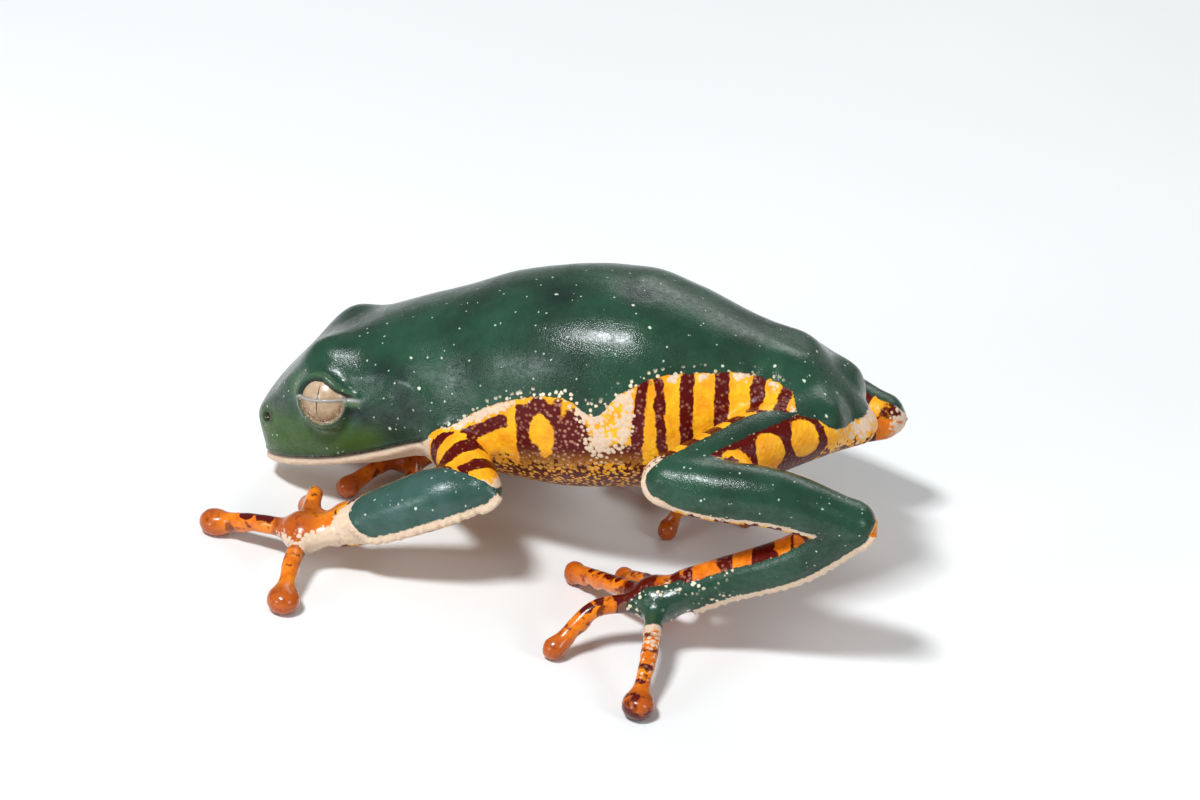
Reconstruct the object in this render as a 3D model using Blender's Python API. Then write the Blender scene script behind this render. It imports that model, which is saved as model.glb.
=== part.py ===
"""Tiger-legged monkey frog: a still, life-size model, walking low with the left side a little raised.

Sizes are millimetres while the frog is modelled and metres at the end. +X runs from snout to rump,
-Y is the frog's own left side, +Z is up and the soles of the toe discs stand on Z = 0.
"""
import math

import bmesh
import bpy
from mathutils import Matrix, Vector

METRES = 0.001
GAP = 0.3
VOXEL = 0.27
SMOOTH_PASSES = 5
FLESH_TRIANGLES = 10200
FLOOR_DEPTH = 6.0

PITCH = math.radians(-13.0)
ROLL = math.radians(-5.0)
SNOUT = Vector((-31.6, 0.0, 5.4))
BODY = Matrix.Translation(SNOUT) @ Matrix.Rotation(PITCH, 4, "Y") @ Matrix.Rotation(ROLL, 4, "X")

BACK = [(0.0, 0.7), (0.5, 1.8), (1.5, 3.1), (3.0, 4.7), (5.0, 6.4), (8.0, 8.3), (11.0, 9.5), (14.0, 10.6),
        (20.0, 12.2), (26.0, 13.9), (32.0, 14.5), (38.0, 14.1), (42.0, 12.6), (46.0, 10.5), (50.0, 8.5),
        (53.0, 7.2), (55.0, 4.6), (57.0, 2.0), (57.8, 0.4)]
BELLY = [(0.0, -0.6), (0.35, -2.2), (0.8, -3.7), (1.6, -4.05), (5.0, -4.05), (8.0, -3.85), (12.0, -3.4),
         (17.0, -2.5), (20.0, -3.2), (24.0, -4.4), (32.0, -5.5), (38.0, -5.4), (44.0, -4.8), (50.0, -3.5),
         (55.0, -2.2), (57.2, -1.2), (57.8, -0.4)]
FLANK = [(0.0, 0.3), (0.4, 1.9), (1.2, 3.2), (3.0, 4.6), (6.0, 5.9), (10.0, 7.2), (14.0, 8.0), (18.0, 8.4),
         (21.0, 8.3), (26.0, 9.3), (32.0, 10.1), (38.0, 9.9), (43.0, 8.7), (48.0, 7.2), (52.0, 6.2),
         (55.5, 4.8), (57.2, 3.0), (57.8, 0.6)]
WIDEST = [(0.0, 0.5), (4.0, 0.34), (14.0, 0.32), (22.0, 0.42), (40.0, 0.44), (57.8, 0.5)]
SQUARENESS = [(0.0, 2.0), (4.0, 2.5), (16.0, 2.5), (24.0, 2.3), (57.8, 2.2)]
MOUTH = [(-2.0, -2.95), (0.6, -2.9), (4.0, -2.5), (7.0, -2.1), (9.4, -1.6), (14.0, -0.35), (18.6, 1.05)]
NECK_X = 18.9

SWELLINGS = [
    ((7.6, 5.2, 7.6), (3.8, 2.8, 3.2), (-0.3, 0.8, 2.1)),
    ((8.9, 7.2, 4.1), (3.3, 2.6, 3.0), (0.0, 1.0, 0.2)),
    ((4.4, 4.4, 4.2), (2.8, 1.5, 1.5), (-0.1, 0.45, 0.4)),
    ((1.0, 1.9, 0.8), (1.1, 1.0, 1.1), (-0.35, 0.25, 0.1)),
    ((15.2, 8.0, 4.0), (2.2, 2.5, 2.2), (0.0, 0.4, 0.0)),
    ((21.5, 8.4, 1.6), (3.6, 3.5, 3.6), (0.0, 1.1, 0.0)),
    ((51.6, 3.0, 8.0), (2.6, 1.8, 2.0), (0.2, 0.1, 0.35)),
    ((57.4, 1.2, -0.6), (1.2, 1.3, 1.5), (0.9, 0.2, -0.2)),
]
EYE = Vector((8.9, 6.15, 4.1))
EYE_LOOK = Vector((-0.10, 0.97, 0.22))
EYE_RADIUS = 2.35
SOCKET_RADIUS = EYE_RADIUS + 0.25
LID_RADIUS = 3.1
LID_OPENING = 2.1
LID_RIM = -0.1
NOSTRIL = Vector((1.55, 3.3, 1.0))
NOSTRIL_RADIUS = 0.42

ARMS = {
    "left": {
        "shoulder": (-12.5, -6.6, 11.2), "upper": (-9.8, -10.2, 11.2), "elbow": (-7.3, -13.5, 10.4),
        "bulge": (-10.5, -14.1, 9.2), "fore": (-15.3, -14.7, 6.4), "wrist": (-19.4, -15.2, 4.2),
        "palm": (-22.4, -15.8, 3.3),
        "fingers": [
            [(-21.2, -15.0, 3.4), (-20.0, -11.4, 4.0), (-19.3, -8.3, 0.95)],
            [(-22.6, -14.9, 3.4), (-23.0, -11.2, 4.7), (-24.4, -7.3, 1.0)],
            [(-22.9, -15.6, 3.2), (-27.2, -15.0, 2.6), (-31.3, -14.1, 1.15)],
            [(-22.3, -17.0, 3.1), (-22.1, -20.6, 2.8), (-21.5, -24.4, 1.15)],
        ],
        "across": (0.15, 1.0, 0.1), "girth": [2.05, 2.9, 2.65, 1.85],
    },
    "right": {
        "shoulder": (-12.0, 6.6, 9.8), "upper": (-8.2, 11.0, 9.6), "elbow": (-4.4, 14.4, 8.4),
        "bulge": (-7.4, 13.1, 5.6), "fore": (-11.6, 9.8, 3.9), "wrist": (-15.6, 6.4, 2.8),
        "palm": (-18.4, 4.4, 2.2),
        "fingers": [
            [(-17.8, 3.8, 2.2), (-16.8, 0.8, 1.8), (-17.0, -1.6, 0.95)],
            [(-19.2, 3.5, 2.1), (-20.8, 0.4, 1.7), (-22.2, -2.2, 1.0)],
            [(-19.8, 4.4, 2.1), (-22.6, 6.0, 1.6), (-25.4, 7.6, 1.05)],
            [(-18.6, 5.2, 2.2), (-19.9, 8.6, 1.8), (-20.8, 11.6, 1.1)],
        ],
        "across": (0.5, 0.85, 0.1), "girth": [2.2, 2.6, 2.25, 1.75],
    },
}
LEGS = {
    "left": {
        "hip": (20.3, -4.0, 19.5), "groin": (16.4, -8.6, 18.7), "thigh": (12.8, -12.9, 17.7),
        "knee": (9.8, -16.0, 16.9), "calf": (14.0, -16.0, 17.1), "shin": (19.8, -15.4, 17.3),
        "heel": (26.2, -14.4, 15.9), "ankle": (21.9, -14.5, 11.4), "tarsus": (16.4, -14.9, 8.2),
        "instep": (13.0, -15.4, 6.2), "sole": (10.5, -15.9, 4.9),
        "toes": [
            [(11.5, -14.9, 4.9), (12.9, -10.6, 3.2), (11.8, -6.2, 1.0)],
            [(10.2, -15.0, 4.8), (8.8, -10.6, 3.3), (5.8, -7.0, 1.0)],
            [(9.6, -15.2, 4.7), (5.6, -12.2, 3.2), (1.4, -8.4, 1.1)],
            [(9.2, -16.6, 4.6), (5.6, -18.8, 4.3), (2.9, -21.8, 1.05)],
            [(10.6, -17.4, 4.6), (11.5, -22.4, 3.7), (12.0, -27.9, 1.2)],
        ],
    },
    "right": {
        "hip": (20.5, 4.3, 18.8), "groin": (16.2, 8.8, 17.9), "thigh": (11.8, 13.0, 16.2),
        "knee": (7.8, 16.6, 14.4), "calf": (11.8, 17.0, 13.9), "shin": (17.4, 16.4, 12.9),
        "heel": (24.2, 15.2, 11.5), "ankle": (19.6, 14.8, 9.4), "tarsus": (14.5, 14.2, 6.8),
        "instep": (11.4, 13.6, 5.0), "sole": (9.2, 13.2, 3.9),
        "toes": [
            [(9.9, 12.7, 3.9), (12.5, 11.0, 2.7), (13.9, 9.0, 1.0)],
            [(9.0, 12.3, 3.8), (8.4, 8.0, 2.9), (7.5, 3.3, 1.05)],
            [(8.2, 12.4, 3.7), (4.7, 11.2, 2.7), (0.9, 11.2, 1.15)],
            [(7.8, 13.6, 3.7), (2.6, 14.8, 2.9), (-3.0, 15.4, 1.2)],
            [(8.8, 14.6, 3.7), (6.6, 19.2, 2.7), (4.6, 23.7, 1.2)],
        ],
    },
}
DISC_SINK = 0.14
DIGIT_NAMES = ["first", "second", "third", "fourth", "fifth"]
FINGER_DISCS = [1.05, 1.25, 1.6, 1.7]
TOE_DISCS = [1.0, 1.1, 1.15, 1.2, 1.65]

COLOURS = {
    "skin_green": (0.02, 0.16, 0.08, 1.0),
    "skin_orange": (0.85, 0.33, 0.03, 1.0),
    "eye_beige": (0.50, 0.36, 0.22, 1.0),
}


def curve(knots):
    """A smooth curve through the knots that never swings past them."""
    xs = [k[0] for k in knots]
    ys = [k[1] for k in knots]
    steps = [(ys[i + 1] - ys[i]) / (xs[i + 1] - xs[i]) for i in range(len(xs) - 1)]
    slopes = [steps[0]]
    for before, after in zip(steps, steps[1:]):
        slopes.append(2 * before * after / (before + after) if before * after > 0 else 0.0)
    slopes.append(steps[-1])

    def value(x):
        x = min(max(x, xs[0]), xs[-1])
        i = max(k for k in range(len(xs) - 1) if xs[k] <= x)
        span = xs[i + 1] - xs[i]
        t = (x - xs[i]) / span
        return ((1 + 2 * t) * (1 - t) ** 2 * ys[i] + t * (1 - t) ** 2 * span * slopes[i]
                + t * t * (3 - 2 * t) * ys[i + 1] + t * t * (t - 1) * span * slopes[i + 1])

    return value


back, belly, flank = curve(BACK), curve(BELLY), curve(FLANK)
widest, squareness, mouth = curve(WIDEST), curve(SQUARENESS), curve(MOUTH)


def trunk_point(x, angle):
    """A point of the trunk's skin, in the body's own frame, at one angle round its section."""
    level = belly(x) + widest(x) * (back(x) - belly(x))
    power = 2.0 / squareness(x)
    across = math.copysign(abs(math.cos(angle)) ** power, math.cos(angle))
    rise = math.copysign(abs(math.sin(angle)) ** power, math.sin(angle))
    height = back(x) - level if rise > 0 else level - belly(x)
    point = Vector((x, flank(x) * across, level + rise * height))
    return point + swelling(point)


def swelling(point):
    """How far the brows, cheeks, shoulders and hips push the smooth trunk outward at a point."""
    push = Vector()
    for place, reach, amount in SWELLINGS:
        for side in (-1, 1):
            mirror = Vector((1, side, 1))
            away = point - Vector(place) * mirror
            far = sum((away[k] / reach[k]) ** 2 for k in range(3))
            push += Vector(amount) * mirror * math.exp(-far)
    return push


def trunk_side(x, z):
    """Half the trunk's width at one station and level."""
    level = belly(x) + widest(x) * (back(x) - belly(x))
    height = back(x) - level if z > level else level - belly(x)
    share = min(abs(z - level) / height, 0.999)
    return flank(x) * (1 - share ** squareness(x)) ** (1 / squareness(x))


def add_trunk(mesh):
    stations = 96
    sides = 56
    length = BACK[-1][0]
    rings = []
    for i in range(stations + 1):
        x = length * 0.5 * (1 - math.cos(math.pi * i / stations))
        rings.append([mesh.verts.new(BODY @ trunk_point(x, 2 * math.pi * k / sides)) for k in range(sides)])
    for one, two in zip(rings, rings[1:]):
        for k in range(sides):
            mesh.faces.new((one[k], two[k], two[(k + 1) % sides], one[(k + 1) % sides]))
    mesh.faces.new(rings[0])
    mesh.faces.new(list(reversed(rings[-1])))


def unit_ball():
    """The corners and faces of a ball one millimetre in radius."""
    mesh = bmesh.new()
    bmesh.ops.create_icosphere(mesh, subdivisions=4, radius=1.0)
    corners = [vert.co.copy() for vert in mesh.verts]
    faces = [[vert.index for vert in face.verts] for face in mesh.faces]
    mesh.free()
    return corners, faces


BALL_CORNERS, BALL_FACES = unit_ball()


def add_ball(mesh, place, radii, turn=Matrix.Identity(4)):
    shape = Matrix.Translation(place) @ turn @ Matrix.Diagonal((*radii, 1.0))
    made = [mesh.verts.new(shape @ corner) for corner in BALL_CORNERS]
    for face in BALL_FACES:
        mesh.faces.new([made[k] for k in face])


def body_ball(mesh, place, radii):
    add_ball(mesh, BODY @ Vector(place), radii, BODY.to_quaternion().to_matrix().to_4x4())


def smooth_path(points, pieces=8):
    """Points spread evenly in parameter along a smooth line through the given ones."""
    points = [Vector(p) for p in points]
    padded = [2 * points[0] - points[1]] + points + [2 * points[-1] - points[-2]]
    path = []
    for a, b, c, d in zip(padded, padded[1:], padded[2:], padded[3:]):
        for i in range(pieces):
            t = i / pieces
            path.append(0.5 * (2 * b + (c - a) * t + (2 * a - 5 * b + 4 * c - d) * t ** 2
                               + (3 * b - a - 3 * c + d) * t ** 3))
    path.append(points[-1])
    return path


def add_tube(mesh, points, across, radii, flat=1.0):
    """A closed limb along a smooth line. Each radius belongs to one point, flat squeezes its height."""
    path = smooth_path(points)
    sizes = [r.x for r in smooth_path([(r, 0, 0) for r in radii])]
    sides = 20
    rings = []
    for i, (point, size) in enumerate(zip(path, sizes)):
        ahead = (path[min(i + 1, len(path) - 1)] - path[max(i - 1, 0)]).normalized()
        side = (Vector(across) - ahead * ahead.dot(Vector(across))).normalized()
        rise = ahead.cross(side)
        ring = []
        for k in range(sides):
            turn = 2 * math.pi * k / sides
            ring.append(mesh.verts.new(point + side * size * math.cos(turn) + rise * size * flat * math.sin(turn)))
        rings.append(ring)
    for one, two in zip(rings, rings[1:]):
        for k in range(sides):
            mesh.faces.new((one[k], two[k], two[(k + 1) % sides], one[(k + 1) % sides]))
    mesh.faces.new(list(reversed(rings[0])))
    mesh.faces.new(rings[-1])
    for place, size in ((path[0], sizes[0]), (path[-1], sizes[-1])):
        add_ball(mesh, place, (size, size, size * (1 + flat) / 2))


def add_digit(mesh, points, disc, thickness):
    start, middle, tip = [Vector(p) for p in points]
    neck = tip.lerp(middle, 0.28) + Vector((0, 0, 0.25))
    across = (tip - start).cross(Vector((0, 0, 1)))
    add_tube(mesh, [start, middle, neck, tip], across, [thickness * 1.12, thickness, thickness * 0.88, thickness])
    heading = math.atan2((tip - middle).y, (tip - middle).x)
    low = tip.z + DISC_SINK
    add_ball(mesh, tip, (disc, disc * 0.93, low), Matrix.Rotation(heading, 4, "Z"))
    for share in (0.35, 0.7):
        knuckle = middle.lerp(tip, share) + Vector((0, 0, -thickness * 0.35))
        add_ball(mesh, knuckle, (thickness * 0.95,) * 3)


def add_head_details(mesh):
    for side in (-1, 1):
        mirror = Vector((1, side, 1))
        body_ball(mesh, EYE * mirror, (LID_RADIUS,) * 3)
        lip = [(x, side * trunk_side(x, mouth(x) - 0.45), mouth(x) - 0.45) for x in (18.4, 14, 10, 6.5, 3.6, 1.8, 1.0)]
        lip.append((0.72, 0, mouth(0.7) - 0.45))
        add_tube(mesh, [BODY @ Vector(p) for p in lip], (0, 0.1, 1), [0.3] + [0.42] * 7)


def add_arm(mesh, arm):
    add_tube(mesh, [arm["shoulder"], arm["upper"], arm["elbow"]], (0, 0, 1), [2.7, 2.25, 2.05])
    add_tube(mesh, [arm["elbow"], arm["bulge"], arm["fore"], arm["wrist"]], arm["across"], arm["girth"], 0.95)
    add_tube(mesh, [arm["wrist"], arm["palm"]], arm["across"], [1.8, 2.3], 0.66)
    for i, points in enumerate(arm["fingers"]):
        add_digit(mesh, points, FINGER_DISCS[i], 0.78 if i < 2 else 0.86)


def add_leg(mesh, leg):
    add_tube(mesh, [leg["hip"], leg["groin"], leg["thigh"], leg["knee"]], (0, 0, 1), [3.2, 3.15, 2.85, 2.35])
    add_tube(mesh, [leg["knee"], leg["calf"], leg["shin"], leg["heel"]], (0, 0, 1), [2.35, 2.7, 2.6, 2.15])
    add_tube(mesh, [leg["heel"], leg["ankle"], leg["tarsus"], leg["instep"]], (0, 1, 0), [2.3, 2.15, 1.95, 2.0])
    add_tube(mesh, [leg["instep"], leg["sole"]], (0, 1, 0), [2.1, 2.5], 0.72)
    heel = Vector(leg["heel"])
    add_ball(mesh, heel + Vector((1.4, 0, -0.3)), (1.1, 0.9, 1.2))
    for i, points in enumerate(leg["toes"]):
        add_digit(mesh, points, TOE_DISCS[i], 0.72 if i < 2 else 0.84)


def new_object(name, mesh, hidden=False):
    data = bpy.data.meshes.new(name)
    bmesh.ops.recalc_face_normals(mesh, faces=mesh.faces)
    mesh.to_mesh(data)
    mesh.free()
    part = bpy.data.objects.new(name, data)
    bpy.context.scene.collection.objects.link(part)
    if hidden:
        part.hide_render = True
        part.display_type = "WIRE"
    return part


def apply_modifier(part, kind, **settings):
    """Put one modifier on, bake it into the mesh and take it off."""
    modifier = part.modifiers.new(kind.lower(), kind)
    for name, value in settings.items():
        setattr(modifier, name, value)
    evaluated = part.evaluated_get(bpy.context.evaluated_depsgraph_get())
    baked = bpy.data.meshes.new_from_object(evaluated)
    part.modifiers.clear()
    old = part.data
    part.data = baked
    bpy.data.meshes.remove(old)


def subtract(part, cutter_mesh, self_touching=False):
    cutter = new_object("cutter", cutter_mesh, hidden=True)
    apply_modifier(part, "BOOLEAN", operation="DIFFERENCE", object=cutter, solver="EXACT", use_self=self_touching)
    bpy.data.objects.remove(cutter, do_unlink=True)


def add_plate(mesh, centre, normal, along, reach, width):
    """A thin flat cutter. Reach is its half length along one direction, width the other half."""
    normal = Vector(normal).normalized()
    along = Vector(along)
    along = (along - normal * normal.dot(along)).normalized()
    turn = Matrix((along, normal.cross(along), normal)).transposed().to_4x4()
    shape = Matrix.Translation(centre) @ turn @ Matrix.Diagonal((2 * reach, 2 * width, GAP, 1.0))
    bmesh.ops.create_cube(mesh, size=1.0, matrix=shape)


def add_fold_plate(mesh, joint, one, two, back_reach, fold_reach, width):
    """A cutter in the plane that halves a folded joint, from behind the joint into the fold."""
    joint = Vector(joint)
    first = (Vector(one) - joint).normalized()
    second = (Vector(two) - joint).normalized()
    fold = (first + second).normalized()
    centre = joint + fold * (fold_reach - back_reach) / 2
    add_plate(mesh, centre, first - second, fold, (back_reach + fold_reach) / 2, width)


def add_across_plate(mesh, here, there, share, reach):
    here, there = Vector(here), Vector(there)
    add_plate(mesh, here.lerp(there, share), there - here, (0.3, 0.5, 0.8), reach, reach)


def limb_cutters():
    mesh = bmesh.new()
    for side, arm in ARMS.items():
        outward = -1 if side == "left" else 1
        shoulder = Vector(arm["shoulder"]).lerp(Vector(arm["upper"]), 0.95)
        add_plate(mesh, shoulder, (-0.16, outward, 0.04), (1, 0, 0), 4.8, 4.0)
        add_fold_plate(mesh, arm["elbow"], arm["upper"], arm["fore"], 3.8, 7.6, 3.5)
        add_across_plate(mesh, arm["wrist"], arm["palm"], 0.0, 2.6)
        for points in arm["fingers"]:
            add_digit_plate(mesh, points, 2.5)
    for side, leg in LEGS.items():
        outward = -1 if side == "left" else 1
        hip = Vector(leg["hip"]).lerp(Vector(leg["groin"]), 0.92)
        add_plate(mesh, hip, (0.29, outward * 0.957, 0.0), (1, 0, 0), 6.6, 4.4)
        add_fold_plate(mesh, leg["knee"], leg["thigh"], leg["shin"], 3.6, 10.4, 3.9)
        add_fold_plate(mesh, leg["heel"], leg["shin"], leg["tarsus"], 4.2, 9.0, 3.4)
        add_across_plate(mesh, leg["instep"], leg["sole"], 0.0, 3.0)
        for points in leg["toes"]:
            add_digit_plate(mesh, points, 2.7)
    return mesh


def add_digit_plate(mesh, points, distance):
    start, middle = Vector(points[0]), Vector(points[1])
    add_across_plate(mesh, start, middle, distance / (middle - start).length, 1.3)


def mouth_cutter():
    """A bent sheet along the line of the mouth, from in front of the snout to the neck."""
    mesh = bmesh.new()
    rings = []
    steps = 24
    half_width = 9.4
    for i in range(steps + 1):
        x = -2.0 + (NECK_X + 2.0) * i / steps
        rise = mouth(x)
        rings.append([mesh.verts.new(BODY @ Vector((x, y, rise + z)))
                      for y, z in ((-half_width, -GAP / 2), (half_width, -GAP / 2),
                                   (half_width, GAP / 2), (-half_width, GAP / 2))])
    for one, two in zip(rings, rings[1:]):
        for k in range(4):
            mesh.faces.new((one[k], two[k], two[(k + 1) % 4], one[(k + 1) % 4]))
    mesh.faces.new(rings[0])
    mesh.faces.new(list(reversed(rings[-1])))
    return mesh


def neck_cutter():
    mesh = bmesh.new()
    axis = BODY.to_3x3() @ Vector((1, 0, 0))
    up = BODY.to_3x3() @ Vector((0, 0, 1))
    add_plate(mesh, BODY @ Vector((NECK_X, 0, 3.0)), axis, up, 13.0, 10.6)
    return mesh


def eye_frame(side):
    """The eye's own frame: its third axis looks out of the head, its second rises."""
    look = Vector((EYE_LOOK.x, EYE_LOOK.y * side, EYE_LOOK.z)).normalized()
    rise = (Vector((0, 0, 1)) - look * look.z).normalized()
    ahead = rise.cross(look)
    turn = Matrix((ahead, rise, look)).transposed().to_4x4()
    return BODY @ Matrix.Translation(EYE * Vector((1, side, 1))) @ turn


def socket_cutter(side):
    """A ball for the socket and, above the lower lid's rim, the way out of it."""
    mesh = bmesh.new()
    frame = eye_frame(side)
    bmesh.ops.create_uvsphere(mesh, u_segments=20, v_segments=12, radius=SOCKET_RADIUS, matrix=frame)
    steps = 30
    low = math.asin(LID_RIM / LID_OPENING)
    outline = []
    for i in range(steps + 1):
        turn = low + (math.pi - 2 * low) * i / steps
        outline.append((LID_OPENING * math.cos(turn), LID_OPENING * math.sin(turn)))
    inner = [mesh.verts.new(frame @ Vector((x, y, 0.6))) for x, y in outline]
    outer = [mesh.verts.new(frame @ Vector((x * 1.25, y * 1.25 if y > 0 else y, 4.5))) for x, y in outline]
    count = len(outline)
    for k in range(count):
        mesh.faces.new((inner[k], inner[(k + 1) % count], outer[(k + 1) % count], outer[k]))
    mesh.faces.new(list(reversed(inner)))
    mesh.faces.new(outer)
    return mesh


def nostril_cutter():
    mesh = bmesh.new()
    for side in (-1, 1):
        place = NOSTRIL * Vector((1, side, 1))
        bmesh.ops.create_icosphere(mesh, subdivisions=2, radius=NOSTRIL_RADIUS,
                                   matrix=BODY @ Matrix.Translation(place))
    return mesh


def floor_cutter():
    mesh = bmesh.new()
    bmesh.ops.create_cube(mesh, size=1.0, matrix=Matrix.Translation((0, 0, -FLOOR_DEPTH / 2))
                          @ Matrix.Diagonal((120.0, 120.0, FLOOR_DEPTH, 1.0)))
    return mesh


def seeds():
    """A point inside each node, to name the pieces by."""
    named = {
        "torso": BODY @ Vector((36.0, 0, 4.0)),
        "head": BODY @ Vector((11.0, 0, 4.5)),
        "lower_jaw": BODY @ Vector((8.0, 0, -3.4)),
    }
    for side, arm in ARMS.items():
        named[side + "_upper_arm"] = Vector(arm["upper"]).lerp(Vector(arm["elbow"]), 0.48) + Vector((0, 0, 0.6))
        named[side + "_forearm"] = Vector(arm["bulge"]).lerp(Vector(arm["fore"]), 0.5)
        named[side + "_hand"] = Vector(arm["palm"])
        for name, points in zip(DIGIT_NAMES, arm["fingers"]):
            named[side + "_" + name + "_finger"] = Vector(points[1]).lerp(Vector(points[2]), 0.5)
    for side, leg in LEGS.items():
        named[side + "_thigh"] = Vector(leg["thigh"])
        named[side + "_shank"] = Vector(leg["shin"])
        named[side + "_tarsus"] = Vector(leg["tarsus"])
        named[side + "_foot"] = Vector(leg["sole"])
        for name, points in zip(DIGIT_NAMES, leg["toes"]):
            named[side + "_" + name + "_toe"] = Vector(points[1]).lerp(Vector(points[2]), 0.5)
    return named


def islands(mesh):
    """The loose pieces of a mesh, each a list of its faces."""
    left = set(mesh.faces)
    pieces = []
    for first in mesh.faces:
        if first not in left:
            continue
        left.discard(first)
        front = [first]
        piece = [first]
        while front:
            for edge in front.pop().edges:
                for face in edge.link_faces:
                    if face in left:
                        left.discard(face)
                        front.append(face)
                        piece.append(face)
        pieces.append(piece)
    return pieces


def slot_of(name):
    if "eye" in name:
        return "eye_beige"
    if "finger" in name or "toe" in name or "hand" in name:
        return "skin_orange"
    return "skin_green"


def material(slot):
    paint = bpy.data.materials.get(slot) or bpy.data.materials.new(slot)
    paint.use_nodes = True
    shader = paint.node_tree.nodes["Principled BSDF"]
    shader.inputs["Base Color"].default_value = COLOURS[slot]
    shader.inputs["Roughness"].default_value = 0.3
    return paint


def add_node(name, data):
    part = bpy.data.objects.new(name, data)
    bpy.context.scene.collection.objects.link(part)
    data.materials.append(material(slot_of(name)))
    return part


def build():
    for old in list(bpy.data.objects):
        bpy.data.objects.remove(old, do_unlink=True)
    mesh = bmesh.new()
    add_trunk(mesh)
    add_head_details(mesh)
    for arm in ARMS.values():
        add_arm(mesh, arm)
    for leg in LEGS.values():
        add_leg(mesh, leg)
    flesh = new_object("flesh", mesh)
    apply_modifier(flesh, "REMESH", mode="VOXEL", voxel_size=VOXEL)
    apply_modifier(flesh, "SMOOTH", factor=0.5, iterations=SMOOTH_PASSES)
    share = FLESH_TRIANGLES / (2 * len(flesh.data.polygons))
    apply_modifier(flesh, "DECIMATE", ratio=share)
    subtract(flesh, floor_cutter())
    subtract(flesh, limb_cutters(), self_touching=True)
    subtract(flesh, neck_cutter())
    subtract(flesh, mouth_cutter(), self_touching=True)
    subtract(flesh, nostril_cutter())
    for side in (-1, 1):
        subtract(flesh, socket_cutter(side), self_touching=True)

    whole = bmesh.new()
    whole.from_mesh(flesh.data)
    bpy.data.objects.remove(flesh, do_unlink=True)
    named = seeds()
    found = []
    for piece in islands(whole):
        points = sorted({vert for face in piece for vert in face.verts}, key=lambda vert: vert.index)
        found.append((piece, points))
    parts = []
    for name, seed in named.items():
        piece, points = min(found, key=lambda pair: min((vert.co - seed).length for vert in pair[1]))
        order = {vert: k for k, vert in enumerate(points)}
        data = bpy.data.meshes.new(name)
        data.from_pydata([vert.co for vert in points], [], [[order[vert] for vert in face.verts] for face in piece])
        parts.append(add_node(name, data))
    whole.free()
    for side, name in ((-1, "left_eye"), (1, "right_eye")):
        ball = bmesh.new()
        bmesh.ops.create_uvsphere(ball, u_segments=24, v_segments=14, radius=EYE_RADIUS, matrix=eye_frame(side))
        data = bpy.data.meshes.new(name)
        ball.to_mesh(data)
        ball.free()
        parts.append(add_node(name, data))

    corners = [part.matrix_world @ vert.co for part in parts for vert in part.data.vertices]
    middle = Vector(((min(c.x for c in corners) + max(c.x for c in corners)) / 2,
                     (min(c.y for c in corners) + max(c.y for c in corners)) / 2, 0.0))
    place = Matrix.Scale(METRES, 4) @ Matrix.Translation(-middle)
    for part in parts:
        part.data.transform(place)
    return middle


MIDDLE = build()
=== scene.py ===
"""A life-size tiger-legged monkey frog: its skin, its eyes, the floor, the light and the camera."""

import math

import bmesh
import bpy
import numpy as np
from mathutils import Matrix, Vector
from mathutils.bvhtree import BVHTree


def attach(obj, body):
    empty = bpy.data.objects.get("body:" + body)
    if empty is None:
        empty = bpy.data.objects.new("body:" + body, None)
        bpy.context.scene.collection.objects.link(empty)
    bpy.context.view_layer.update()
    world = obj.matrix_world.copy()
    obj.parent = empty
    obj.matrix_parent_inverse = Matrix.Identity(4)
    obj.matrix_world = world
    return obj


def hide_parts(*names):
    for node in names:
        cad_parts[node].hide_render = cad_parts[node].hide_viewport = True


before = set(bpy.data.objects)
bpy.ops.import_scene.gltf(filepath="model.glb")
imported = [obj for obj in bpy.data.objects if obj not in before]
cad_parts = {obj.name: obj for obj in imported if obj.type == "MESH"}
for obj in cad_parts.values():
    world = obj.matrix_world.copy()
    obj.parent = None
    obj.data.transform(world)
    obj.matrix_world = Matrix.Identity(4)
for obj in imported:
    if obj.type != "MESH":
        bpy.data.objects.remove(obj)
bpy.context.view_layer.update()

# All lengths are in millimetres, except where they are multiplied by MM or belong to the room.
MM = 0.001

# The body's own frame: x runs from the snout to the rump, y to the frog's right and z up.
SHIFT = Vector((2.113158, 2.135121, 0.0))
SNOUT = Vector((-31.6, 0.0, 5.4))
PITCH = math.radians(-13.0)
ROLL = math.radians(-5.0)
BODY = (Matrix.Translation(SHIFT) @ Matrix.Translation(SNOUT)
        @ Matrix.Rotation(PITCH, 4, "Y") @ Matrix.Rotation(ROLL, 4, "X"))
SIDES = {"left": -1, "right": 1}

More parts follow.
